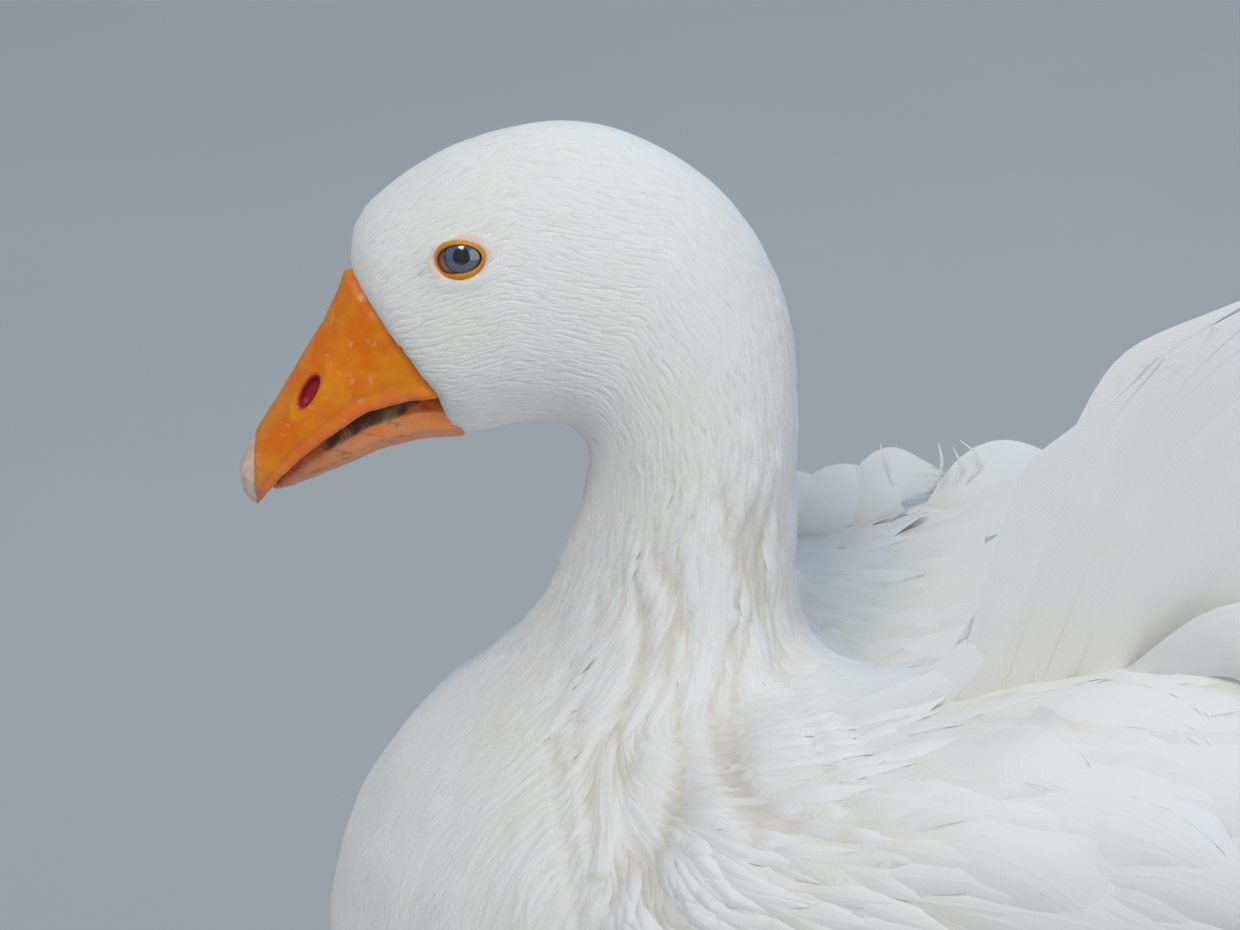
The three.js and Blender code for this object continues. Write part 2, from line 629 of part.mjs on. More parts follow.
// A claw curves down from the end of its toe.
function clawSolid(toe, side) {
  const { length, radius, bend, taper, steps, rise, rest } = FOOT.claw;
  const size = toe.radius / FOOT.toes[1].radius;
  const turn = rad(toe.bearing);
  const ahead = vec(-Math.cos(turn), side * Math.sin(turn), 0);
  const across = vec(Math.sin(turn), side * Math.cos(turn), 0);
  const end = FOOT.tip.at;
  const height = toeRadius(toe, end) * FOOT.seat + (toe.lift ?? 0) * (1 - end) + rise;
  const start = toePoint(toe, side, end).setZ(height);
  const rings = Array.from({ length: steps + 1 }, (_, i) => {
    const t = i / steps;
    const thick = radius * size * (1 - taper * t);
    const middle = start.clone().addScaledVector(ahead, GAP + length * size * t);
    middle.z = Math.max(middle.z - bend * t * t, thick * rest[0] + rest[1]);
    return Array.from({ length: SIDES.claw }, (_, k) => {
      const angle = (2 * Math.PI * k) / SIDES.claw;
      return middle
        .clone()
        .addScaledVector(across, thick * Math.cos(angle))
        .add(vec(0, 0, thick * Math.sin(angle)));
    });
  });
  return solidOf(closeRings(rings));
}

// ---------------------------------------------------------------- assembly
const flesh = fleshSolid();
const fleshBay = fleshSolid(() => GAP);

// A mesh of a solid, placed by the middle of its box.
function meshOf(name, solid, finish) {
  const { vertProperties, triVerts } = mainBody(solid).getMesh();
  const geometry = new THREE.BufferGeometry();
  geometry.setAttribute("position", new THREE.BufferAttribute(vertProperties, 3));
  geometry.setIndex(new THREE.BufferAttribute(triVerts, 1));
  geometry.computeVertexNormals();
  geometry.computeBoundingBox();
  const mesh = new THREE.Mesh(geometry, new THREE.MeshStandardMaterial(FINISH[finish]));
  geometry.boundingBox.getCenter(mesh.position);
  geometry.translate(-mesh.position.x, -mesh.position.y, -mesh.position.z);
  mesh.name = name;
  return mesh;
}

function groupOf(...meshes) {
  const group = new THREE.Group();
  group.add(...meshes);
  return group;
}

// The right-hand twin of a left-hand solid is its mirror image.
const SIDE_NAMES = [
  { tag: "left", side: -1, toSide: (solid) => solid },
  { tag: "right", side: 1, toSide: mirrored },
];

function billGroup() {
  const ahead = aheadOfFeathers(GAP / 2);
  const tip = vec(NAIL.behind, 0, 0);
  const nailTip = tip.clone().setX(NAIL.behind - GAP);
  const holes = union(SIDE_NAMES.map(({ side }) => nostrilSolid(side)));
  const upper = upperBillSolid().intersect(ahead).subtract(holes).intersect(halfSpace(tip, vec(1, 0, 0)));
  const nail = upperBillSolid(NAIL.proud).intersect(halfSpace(nailTip, vec(-1, 0, 0)));
  const lower = lowerBillSolid().intersect(ahead).subtract(upperBillSolid(GAP + NAIL.proud));
  return groupOf(
    meshOf("bill_upper", upper, "bill"),
    meshOf("bill_nail", nail, "nail"),
    meshOf("bill_lower", lower, "bill"),
  );
}

function eyesGroup() {
  const pairs = SIDE_NAMES.map(({ tag, toSide }) => [
    meshOf(`eye_${tag}`, toSide(eyeSolid()), "eye"),
    meshOf(`eyelid_${tag}`, toSide(eyelidSolid()), "eyelid"),
  ]);
  return groupOf(...pairs.flat());
}

function bodyGroup() {
  const socket = eyeSolid(GAP).add(eyelidSolid(GAP));
  const [frontOfNape, neckAndTrunk] = part(flesh.subtract(aheadOfFeathers(-GAP / 2)), HEAD_END);
  const [neck, trunk] = part(neckAndTrunk, NECK_END);
  return groupOf(
    meshOf("head", frontOfNape.subtract(socket).subtract(mirrored(socket)), "feather"),
    meshOf("neck", neck, "feather"),
    meshOf("trunk", trunk, "feather"),
    meshOf("tail", tailSolid().subtract(fleshBay), "feather"),
  );
}

function wingGroup({ tag, side, toSide }) {
  const clear = fleshBay.add(tailSolid(GAP)).add(limbSolid(THIGH, side, GAP));
  const quills = toSide(quillsSolid().subtract(wingSolid(GAP))).subtract(clear);
  return groupOf(
    meshOf(`wing_${tag}`, toSide(wingSolid()).subtract(clear), "feather"),
    meshOf(`quills_${tag}`, quills, "feather"),
  );
}

function plumesMesh() {
  const clear = fleshBay.add(wingSolid(GAP)).add(quillsSolid(GAP));
  return meshOf("plumes_left", plumesSolid().subtract(clear), "feather");
}

function legGroup({ tag, side }) {
  const foot = footSolid(side);
  const toes = [...FOOT.toes, { ...FOOT.hind, name: "hind" }];
  return groupOf(
    meshOf(`thigh_${tag}`, limbSolid(THIGH, side).subtract(fleshBay), "feather"),
    meshOf(`shank_${tag}`, limbSolid(SHANK, side), "leg"),
    meshOf(`foot_${tag}`, foot.subtract(limbSolid(SHANK, side, GAP)), "leg"),
    ...toes.map((toe) => meshOf(`claw_${tag}_${toe.name}`, clawSolid(toe, side).subtract(foot), "claw")),
  );
}

const goose = new THREE.Group();
goose.add(billGroup(), eyesGroup(), bodyGroup(), plumesMesh());
goose.add(...SIDE_NAMES.map(wingGroup), ...SIDE_NAMES.map(legGroup));

// The origin is on the ground, under the middle of the goose's length.
const middle = new THREE.Box3().setFromObject(goose, true).getCenter(vec(0, 0, 0));
goose.position.set(-middle.x, -middle.y, 0);

export default goose;
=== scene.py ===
# A white domestic goose with loose, curling feathers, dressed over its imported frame.
# Places are in millimetres: x from the middle of the neck toward the tail, y toward the goose's
# right side and z above the ground. The goose looks toward -x.
import math

import bmesh
import bpy
import numpy as np
from mathutils import Matrix, Vector, noise
from mathutils.bvhtree import BVHTree


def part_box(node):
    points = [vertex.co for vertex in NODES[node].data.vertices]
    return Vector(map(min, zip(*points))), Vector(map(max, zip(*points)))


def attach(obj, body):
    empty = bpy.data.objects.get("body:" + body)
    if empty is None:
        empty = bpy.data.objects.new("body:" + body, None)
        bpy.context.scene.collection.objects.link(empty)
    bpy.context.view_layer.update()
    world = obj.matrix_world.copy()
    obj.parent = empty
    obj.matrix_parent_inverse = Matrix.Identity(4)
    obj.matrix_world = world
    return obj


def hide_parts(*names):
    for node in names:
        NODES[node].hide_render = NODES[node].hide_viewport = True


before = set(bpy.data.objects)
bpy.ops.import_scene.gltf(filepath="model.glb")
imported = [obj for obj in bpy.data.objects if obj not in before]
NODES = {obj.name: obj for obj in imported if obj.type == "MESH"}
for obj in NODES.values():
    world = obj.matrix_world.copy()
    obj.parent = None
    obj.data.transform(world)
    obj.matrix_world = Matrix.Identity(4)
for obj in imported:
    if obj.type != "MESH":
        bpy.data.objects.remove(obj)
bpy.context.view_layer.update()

# ---------------------------------------------------------------- measures
MM = 0.001
BILL_TIP_X = -100.15  # of the nail, from the middle of the neck
NECK_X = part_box("bill_nail")[0].x - BILL_TIP_X * MM  # the neck's middle in the frame
SIDES = {"left": -1, "right": 1}

# Growth lines of the plumage, each station with a point on the throat, breast and belly and one
# on the crown, nape and back. Feathers point from each station to the next.
LIE = [
    ((-62, 366), (-78, 402)),  # bill's base
    ((-43, 371.5), (-69, 431)),  # face
    ((-27, 375), (-31, 455)),  # crown
    ((-12, 373), (17, 447)),
    ((-8.6, 365), (38, 424)),  # nape
    ((-11, 350), (48.6, 393)),
    ((-20.5, 324), (50.8, 354)),  # neck
    ((-43, 296), (55, 321.5)),  # shoulders
    ((-80.5, 232), (87, 321)),  # breast
    ((-28, 142), (141, 327)),
    ((85, 109), (186, 325)),  # belly
    ((202, 115), (240, 315)),
    ((296, 165), (295, 297)),
    ((398, 258), (394, 274)),  # tail
]

# Depth of the coat over the skin at places along those lines, in mm.
COAT_DEPTH = [(0, 0.4), (1, 0.5), (3, 0.7), (5, 1.2), (7, 1.6), (8.5, 2.2), (13, 3.2)]

# An eye: a point of the left ball's surface, its radius, the turn of its gaze in degrees, the
# radius of iris and pupil, and how far the ball is flattened beyond its ring.
EYE = {"at": (-40.2, -23.4, 428.6), "radius": 8.4, "ahead": 8.0, "up": 17.0, "slope": 5.0,
       "iris": 4.8, "pupil": 2.3, "cornea": 0.5, "sink": 2.4}
# The ring round it: half its opening, its width and height, its place from the gaze, how far the
# opening runs out at the rear corner, and the bare skin round it.
LID = {"half": (5.9, 3.65), "width": 1.75, "rise": 1.7, "over": 0.35, "ahead": 0.9, "down": 0.75,
       "corner": 0.7, "bare": 1.3}

rng = np.random.default_rng(7)


def at(x, y, z):
    """A point of the frame from its place in millimetres."""
    return Vector((NECK_X + x * MM, y * MM, z * MM))


def smooth(value, low, high):
    """0 below low, 1 above high and smooth between."""
    t = np.clip((value - low) / (high - low), 0, 1)
    return t * t * (3 - 2 * t)


def hump(value, middle, half):
    """A smooth rise to 1 at the middle, nearly gone twice half away from it."""
    return np.exp(-(((value - middle) / half) ** 2))


# ---------------------------------------------------------------- camera
PICTURE_SIZE = (1240, 930)
AIM = at(0, 0, 362)
CAMERA = {"pitch": 22.0, "distance": 1.3, "pixels_per_mm": 3.8, "sensor": 36.0}


def add_camera():
    data = bpy.data.cameras.new("camera")
    data.sensor_width = CAMERA["sensor"]
    width_mm = PICTURE_SIZE[0] / CAMERA["pixels_per_mm"]
    data.lens = CAMERA["sensor"] * CAMERA["distance"] / (width_mm * MM)
    camera = bpy.data.objects.new("camera", data)
    pitch = math.radians(CAMERA["pitch"])
    back = Vector((0, -math.cos(pitch), math.sin(pitch)))
    camera.location = AIM + back * CAMERA["distance"]
    camera.rotation_euler = (math.pi / 2 - pitch, 0, 0)
    bpy.context.scene.collection.objects.link(camera)
    bpy.context.scene.camera = camera


# ---------------------------------------------------------------- shader words
class Value:
    """A socket whose numbers can be added, subtracted and multiplied as in plain Python."""

    def __init__(self, shade, socket):
        self.shade = shade
        self.socket = socket

    def math(self, operation, *others):
        inputs = dict(enumerate([self, *others]))
        return self.shade.node("ShaderNodeMath", {"operation": operation}, inputs)

    def __add__(self, other):
        return self.math("ADD", other)

    def __sub__(self, other):
        return self.math("SUBTRACT", other)

    def __rsub__(self, other):
        return self.shade.node("ShaderNodeMath", {"operation": "SUBTRACT"}, {0: other, 1: self})

    def __mul__(self, other):
        return self.math("MULTIPLY", other)

    def __abs__(self):
        return self.math("ABSOLUTE")

    __radd__ = __add__
    __rmul__ = __mul__


class Shade:
    """A material in the making. Its node method adds any node and links or sets its sockets."""

    def __init__(self, name, **surface):
        self.material = bpy.data.materials.new(name)
        self.material.use_nodes = True
        self.tree = self.material.node_tree
        self.surface = self.tree.nodes["Principled BSDF"]
        self.feed(self.surface, surface)

    def feed(self, node, inputs):
        for key, value in inputs.items():
            if isinstance(value, Value):
                self.tree.links.new(value.socket, node.inputs[key])
            else:
                node.inputs[key].default_value = value

    def node(self, kind, settings=(), inputs=(), output=0):
        node = self.tree.nodes.new(kind)
        for key, value in dict(settings).items():
            setattr(node, key, value)
        self.feed(node, dict(inputs))
        return Value(self, node.outputs[output])

    def place(self):
        return self.node("ShaderNodeTexCoord", output="Object")

    def attribute(self, name):
        return self.node("ShaderNodeAttribute", {"attribute_name": name}, output="Fac")

    def axis(self, vector, name):
        return self.node("ShaderNodeSeparateXYZ", (), {0: vector}, name)

    def grain(self, vector, scale, detail=3.0):
        return self.node("ShaderNodeTexNoise", (), {"Vector": vector, "Scale": scale, "Detail": detail})

    def stretch(self, vector, factors):
        return self.node("ShaderNodeVectorMath", {"operation": "MULTIPLY"}, {0: vector, 1: factors})

    def step(self, value, low, high):
        """0 below low, 1 above high and smooth between."""
        return self.node("ShaderNodeMapRange", {"interpolation_type": "SMOOTHSTEP"},
                         {"Value": value, "From Min": low, "From Max": high})

    def mix(self, share, one, other):
        """A share of the way from one color to the other; sockets 6 and 7 of the node are its colors."""
        one, other = (color if isinstance(color, Value) else (*color, 1) for color in (one, other))
        return self.node("ShaderNodeMix", {"data_type": "RGBA"}, {0: share, 6: one, 7: other}, 2)

    def blend(self, value, low, high, one, other, strength=None):
        """One color where the value is below low, and the other, or its strength, above high."""
        share = self.step(value, low, high)
        return self.mix(share if strength is None else share * strength, one, other)

    def bump(self, height, distance, strength):
        inputs = {"Height": height, "Distance": distance, "Strength": strength}
        return self.node("ShaderNodeBump", (), inputs)

    def finish(self, **inputs):
        self.feed(self.surface, inputs)
        return self.material


def flesh(weight, depth, coat_roughness, **others):
    """Settings of a surface that light enters a little, and its clear coat."""
    return {"Subsurface Weight": weight, "Subsurface Scale": depth, "Coat Roughness": coat_roughness,
            **others}


BARBS = 5200.0  # turns of the barbs in each metre along a vane, in radians
SHAFT = (0.0002, 0.0007)  # where a shaft's edge begins and ends, from its middle


def plumage_material():
    """Soft white vanes: a pale shaft, fine barbs that run out from it, a warm shade at the root, and
    painted shade in the neck's furrows.
    """
    shade = Shade("plumage", **{"Sheen Weight": 0.25, "Sheen Roughness": 0.5, "Specular IOR Level": 0.25})
    place, vane = shade.place(), shade.node("ShaderNodeUVMap", {"uv_map": "Vane"})
    across = abs(shade.axis(vane, "X") - 0.5) * 2.0
    along = shade.axis(vane, "Y")
    breadth = shade.attribute("breadth")
    barbs = ((along * shade.attribute("reach") - across * breadth * 0.5) * BARBS).math("SINE")
    shaft = 1.0 - shade.step(across * breadth, *SHAFT)
    white = shade.mix(shade.attribute("tone"), (0.80, 0.79, 0.755), (0.83, 0.835, 0.83))
    warm = shade.blend(shade.grain(place, 26.0, 4.0), 0.45, 0.75, white, (0.81, 0.785, 0.72), 0.7)
    rooted = shade.blend(along, 0.0, 0.4, (0.78, 0.745, 0.67), warm)
    shafted = shade.mix(shaft * 0.25, rooted, (0.87, 0.85, 0.80))
    # Painted shade: vanes in the neck's furrows are darkened to a warm brown, standing in for the shadow
    # in the folds.
    color = shade.blend(shade.attribute("groove"), 0.3, 1.0, shafted, (0.66, 0.605, 0.50), 0.8)
    height = barbs * 0.13 + shade.grain(place, 900.0, 2.0) * 0.6 + shaft * 0.6
    return shade.finish(**{"Base Color": color, "Roughness": 0.82,
                           "Normal": shade.bump(height, 0.00014, 0.5)})


def skin_material():
    """Pale down, pinkish where it is bare round the eyes."""
    shade = Shade("down", **{"Roughness": 0.9})
    place = shade.place()
    down = shade.blend(shade.grain(place, 26.0, 4.0), 0.42, 0.7, (0.80, 0.785, 0.745), (0.79, 0.76, 0.69))
    color = shade.mix(shade.attribute("bare"), down, (0.80, 0.64, 0.56))
    fuzz = shade.grain(place, 700.0, 4.0)
    return shade.finish(**{"Base Color": color, "Normal": shade.bump(fuzz, 0.0006, 0.7)})


def bill_material():
    """Orange horn, pinker toward its tip and edges, worn in spots, and dark red in the nostrils."""
    shade = Shade("bill_horn", **flesh(0.12, 0.002, 0.12, **{"Specular IOR Level": 0.3,
                                                             "Subsurface Radius": (1.0, 0.35, 0.1)}))
    place = shade.place()
    blotch = shade.grain(place, 120.0, 4.0)
    fine = shade.grain(place, 650.0)
    horn = shade.blend(blotch, 0.35, 0.65, (0.78, 0.17, 0.001), (0.80, 0.25, 0.001))
    pinker = shade.blend(shade.attribute("toward_tip"), 0.6, 0.95, horn, (0.78, 0.27, 0.15))
    edged = shade.mix(shade.attribute("edge") * 0.65, pinker, (0.72, 0.17, 0.06))
    worn = shade.blend(shade.grain(place, 330.0, 2.0), 0.62, 0.72, edged, (0.84, 0.46, 0.22), 0.3)
    color = shade.mix(shade.attribute("hollow"), worn, (0.36, 0.014, 0.016))
    return shade.finish(**{"Base Color": color, "Roughness": 0.34 + fine * 0.18, "Coat Weight": 0.12,
                           "Normal": shade.bump(blotch * 0.7 + fine * 0.5, 0.0006, 0.5)})


def comb_material():
    """The lower bill: pinkish orange, with the dark comb plates along the mouth's edge."""
    shade = Shade("bill_comb", **flesh(0.1, 0.002, 0.2))
    place = shade.place()
    blotch = shade.grain(place, 150.0, 4.0)
    streaks = shade.grain(shade.stretch(place, (1.0, 2.0, 3.5)), 170.0)
    horn = shade.blend(blotch, 0.35, 0.65, (0.78, 0.22, 0.03), (0.74, 0.27, 0.10))
    pinker = shade.blend(shade.attribute("toward_tip"), 0.25, 0.8, horn, (0.62, 0.25, 0.15))
    streaked = shade.blend(streaks, 0.54, 0.68, pinker, (0.26, 0.12, 0.045), 0.6)
    plates = shade.blend(blotch, 0.4, 0.6, (0.13, 0.085, 0.05), (0.36, 0.25, 0.15))
    color = shade.blend(shade.attribute("edge"), 0.35, 0.75, streaked, plates)
    return shade.finish(**{"Base Color": color, "Roughness": 0.45, "Coat Weight": 0.2,
                           "Normal": shade.bump(blotch, 0.0005, 0.5)})


def horn_material(name, depths, stretch, scale, colors, roughness, coat, bump):
    """Plain streaked horn, for the bill's nail and the claws."""
    shade = Shade(name, **flesh(*depths))
    streaks = shade.grain(shade.stretch(shade.place(), stretch), scale)
    return shade.finish(**{"Base Color": shade.blend(streaks, 0.35, 0.65, *colors), "Roughness": roughness,
                           "Coat Weight": coat, "Normal": shade.bump(streaks, bump, 0.4)})


def nail_material():
    return horn_material("nail_horn", (0.2, 0.003, 0.15), (3.0, 8.0, 3.0), 60.0,
                         ((0.70, 0.47, 0.36), (0.80, 0.62, 0.50)), 0.38, 0.3, 0.0004)


def claw_material():
    return horn_material("claw_horn", (0.1, 0.002, 0.03), (1.0, 1.0, 1.0), 300.0,
                         ((0.48, 0.36, 0.27), (0.66, 0.54, 0.43)), 0.4, 0.2, 0.0003)


def eye_material():
    """A blue-grey iris with a dark rim round a black pupil, under a wet surface."""
    shade = Shade("eye_wet", **{"Coat Roughness": 0.02, "Specular IOR Level": 0.6})
    out, turn = shade.attribute("from_pupil"), shade.attribute("turn")
    iris, pupil = EYE["iris"], EYE["pupil"]
    rays = shade.grain(shade.node("ShaderNodeCombineXYZ", (), {0: turn * 3.0, 1: out * 0.4}), 5.0, 4.0)
    blue = shade.blend(rays, 0.3, 0.7, (0.055, 0.085, 0.135), (0.105, 0.145, 0.205))
    rimmed = shade.blend(out, iris * 0.82, iris * 0.98, blue, (0.012, 0.016, 0.03))
    inner = shade.blend(out, pupil * 0.94, pupil * 1.06, (0.002, 0.002, 0.003), rimmed)
    color = shade.blend(out, iris * 0.97, iris * 1.04, inner, (0.22, 0.06, 0.035))
    return shade.finish(**{"Base Color": color, "Roughness": 0.12, "Coat Weight": 1.0})


def lid_material():
    """Wrinkled orange-yellow skin, browner at its lip and fading into the bare skin round it."""
    shade = Shade("eye_ring", **flesh(0.1, 0.001, 0.3, **{"Specular IOR Level": 0.3}))
    wrinkle = shade.grain(shade.place(), 900.0)
    ring = shade.blend(wrinkle, 0.35, 0.7, (0.68, 0.25, 0.004), (0.76, 0.36, 0.008))
    lip = shade.mix(shade.attribute("lip"), ring, (0.42, 0.16, 0.05))
    color = shade.mix(shade.attribute("skirt"), lip, (0.84, 0.72, 0.64))
    return shade.finish(**{"Base Color": color, "Roughness": 0.5, "Coat Weight": 0.15,
                           "Normal": shade.bump(wrinkle, 0.0004, 0.6)})


def leg_material():
    """Scaly orange skin."""
    shade = Shade("leg_scales", **flesh(0.12, 0.002, 0.35))
    place = shade.place()
    scales = shade.node("ShaderNodeTexVoronoi", {"feature": "DISTANCE_TO_EDGE"},
                        {"Vector": place, "Scale": 620.0})
    seam = 1.0 - shade.step(scales, 0.0, 0.12)
    skin = shade.blend(shade.grain(place, 70.0, 4.0), 0.35, 0.65, (0.82, 0.21, 0.015), (0.88, 0.32, 0.03))
    color = shade.mix(seam * 0.55, skin, (0.52, 0.11, 0.02))
    return shade.finish(**{"Base Color": color, "Roughness": 0.5, "Coat Weight": 0.12,
                           "Normal": shade.bump(1.0 - seam, 0.0005, 0.7)})


# ---------------------------------------------------------------- making meshes
def add_object(name, mesh):
    thing = bpy.data.objects.new(name, mesh)
    bpy.context.scene.collection.objects.link(thing)
    return thing


def finish_piece(thing, material, slot, *replaced):
    thing.data.materials.clear()
    thing.data.materials.append(material)
    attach(thing, "root")
    if replaced:
        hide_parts(*replaced)
    return thing


def merged_copy(*nodes):
    """A bmesh of the frame's nodes, with the doubled corners of their triangles merged."""
    shape = bmesh.new()
    for name in nodes:
        shape.from_mesh(NODES[name].data)
    bmesh.ops.remove_doubles(shape, verts=shape.verts, dist=1e-6)
    return shape


def to_mesh(shape, name):
    mesh = bpy.data.meshes.new(name)
    shape.to_mesh(mesh)
    shape.free()
    return mesh


def refined(shape, name, grain, softness):
    """The mesh of a shape rebuilt on an even grain and softened, in one closed surface."""
    thing = add_object(name, to_mesh(shape, name))
    remesh = thing.modifiers.new("grain", "REMESH")
    remesh.mode = "VOXEL"
    remesh.voxel_size = grain
    soften = thing.modifiers.new("soften", "SMOOTH")
    soften.factor = 0.5
    soften.iterations = softness
    settle(thing)
    return thing


def settle(thing):
    """Applies the modifiers of an object to its mesh."""
    depsgraph = bpy.context.evaluated_depsgraph_get()
    mesh = bpy.data.meshes.new_from_object(thing.evaluated_get(depsgraph))
    thing.modifiers.clear()
    old = thing.data
    thing.data = mesh
    bpy.data.meshes.remove(old)
    for face in mesh.polygons:
        face.use_smooth = True


def numbers(items, name, per=1, kind=float):
    """A number, or a row of numbers, from each item of a mesh."""
    flat = np.zeros(len(items) * per, kind)
    items.foreach_get(name, flat)
    return flat.reshape(-1, per) if per > 1 else flat


def places_of(mesh):
    return numbers(mesh.vertices, "co", 3)


def normals_of(mesh):
    return numbers(mesh.vertices, "normal", 3)


def edges_of(mesh):
    return numbers(mesh.edges, "vertices", 2, int)


def set_places(mesh, places):
    mesh.vertices.foreach_set("co", np.asarray(places, float).ravel())
    mesh.update()


def set_attribute(mesh, name, values):
    layer = mesh.attributes.get(name) or mesh.attributes.new(name, "FLOAT", "POINT")
    layer.data.foreach_set("value", np.asarray(values, np.float32))


def finer(thing, wanted, times=1):
    """Splits the faces of a piece in four where they are wanted."""
    shape = bmesh.new()
    shape.from_mesh(thing.data)
    for _ in range(times):
        chosen = wanted(np.array([face.calc_center_median() for face in shape.faces]))
        faces = [face for face, near in zip(shape.faces, chosen) if near]
        edges = dict.fromkeys(edge for face in faces for edge in face.edges)
        bmesh.ops.subdivide_edges(shape, edges=list(edges), cuts=1, use_grid_fill=True)
    shape.to_mesh(thing.data)
    shape.free()


def unit(vectors):
    return vectors / np.maximum(np.linalg.norm(vectors, axis=-1, keepdims=True), 1e-12)


def design(places):
    """Frame places in metres as x and z in millimetres from the middle of the neck."""
    return np.stack([(places[..., 0] - NECK_X) / MM, places[..., 2] / MM], axis=-1)


# ---------------------------------------------------------------- lie of the plumage
LOW, HIGH = (np.array(ends, float) for ends in zip(*LIE))
MIDDLES = (LOW + HIGH) / 2
# How far down the goose each station lies, in mm along the lines' middles.
STATION_RUN = np.append(0, np.cumsum(np.linalg.norm(np.diff(MIDDLES, axis=0), axis=1)))


def stations(flat, lines, way=1):
    """The last line of a row that each point has passed, the share of the gap to the next, and the
    share of the way up the line there. way is -1 where the row runs toward the bill's tip."""
    low, high = (np.array(ends, float) for ends in zip(*lines))
    rise = high - low
    ahead = way * np.stack([(rise[k, 1] * (flat[:, 0] - low[k, 0]) - rise[k, 0] * (flat[:, 1] - low[k, 1]))
                            / np.linalg.norm(rise[k]) for k in range(len(lines))], axis=1)
    station = np.clip((ahead > 0).sum(axis=1) - 1, 0, len(lines) - 2)
    rows = np.arange(len(flat))
    behind, before = ahead[rows, station], ahead[rows, station + 1]
    gap = np.where(abs(behind - before) < 1e-6, 1e-6, behind - before)
    between = np.clip(behind / gap, 0, 1)
    low_here = low[station] + (low[station + 1] - low[station]) * between[:, None]
    span = high[station] + (high[station + 1] - high[station]) * between[:, None] - low_here
    share = ((flat - low_here) * span).sum(axis=1) / (span * span).sum(axis=1)
    return station, between, share


def growth(places):
    """How far along the growth lines each place is, its share of the way up, and the way
    that feathers point there."""
    station, between, share = stations(design(places), LIE)
    share = np.clip(share, 0, 1)
    low_way, high_way = (unit(row[station + 1] - row[station]) for row in (LOW, HIGH))
    way = low_way * (1 - share[:, None]) + high_way * share[:, None]
    return station + between, share, np.stack([way[:, 0], np.zeros(len(way)), way[:, 1]], axis=-1)


def neighbour_mean(edges, count, values):
    """Each vertex's value averaged with those of its neighbours."""
    ends, others = np.concatenate([edges, edges[:, ::-1]]).T
    seen = 1 + np.bincount(ends, minlength=count)
    columns = values.reshape(count, -1).T
    total = [column + np.bincount(ends, column[others], minlength=count) for column in columns]
    return (np.stack(total, axis=-1) / seen[:, None]).reshape(values.shape)


# ---------------------------------------------------------------- folded wings
WING = {
    "reach": 70, "lift": 28, "side": 64, "spread": 28,
    "front": [(72, 440), (69, 334), (50, 322), (22, 308), (2, 287), (-5, 262), (3, 236), (24, 211)],
    "from": (24, 211), "lowest": (190, 160), "to": (346, 236),
}
TROUGH = {"depth": 19.0, "half": 21.0, "front": (42, 72), "rear": (230, 300)}  # along the back


def wing_edge(x):
    """Height of the wing's lower edge at a place along the body."""
    (x0, z0), (x1, z1), (x2, z2) = WING["from"], WING["lowest"], WING["to"]
    share = np.where(x < x1, (x1 - x) / (x1 - x0), (x - x1) / (x2 - x1))
    return z1 + (np.where(x < x1, z0, z2) - z1) * np.clip(share, 0, 1.1) ** 2


def wing_front(z):
    """How far forward the wing reaches at a height."""
    return np.interp(z, *zip(*sorted((height, x) for x, height in WING["front"])))


def on_wing(places, soft=14.0):
    """1 on the folded wing and 0 off it, with a soft edge."""
    x, z = design(places).T
    behind = smooth(x - wing_front(z), -2, soft)
    above = smooth(z - wing_edge(x), -2, soft)
    return behind * above * (1 - smooth(x, 330, 362))


def ridge_height(places):
    """Height of the heap of scapulars along the shoulder, in mm."""
    x, z = design(places).T
    pile = smooth(x, -5, 75) * (1 - smooth(x, 200, 320)) * smooth(z, 250, 290)
    return WING["lift"] * hump(np.abs(places[:, 1] / MM), WING["side"], WING["spread"]) * pile


def wing_lift(places, normals):
    """How far the folded wings stand out of the flesh at each place, in mm, less the trough
    between their scapular heaps along the back."""
    shape = merged_copy("wing_left", "wing_right")
    tree = BVHTree.FromBMesh(shape)
    shape.free()
    share = on_wing(places)
    lift = np.zeros(len(places))
    for index in np.flatnonzero(share > 0):
        spot, normal = Vector(places[index]), Vector(normals[index])
        hit = tree.ray_cast(spot + normal * (WING["reach"] * MM), -normal, WING["reach"] * MM)[0]
        if hit is not None:
            lift[index] = (hit - spot).dot(normal) / MM
    x = design(places)[:, 0]
    trough = hump(places[:, 1] / MM, 0, TROUGH["half"]) * smooth(x, *TROUGH["front"])
    return lift * share - TROUGH["depth"] * trough * (1 - smooth(x, *TROUGH["rear"]))


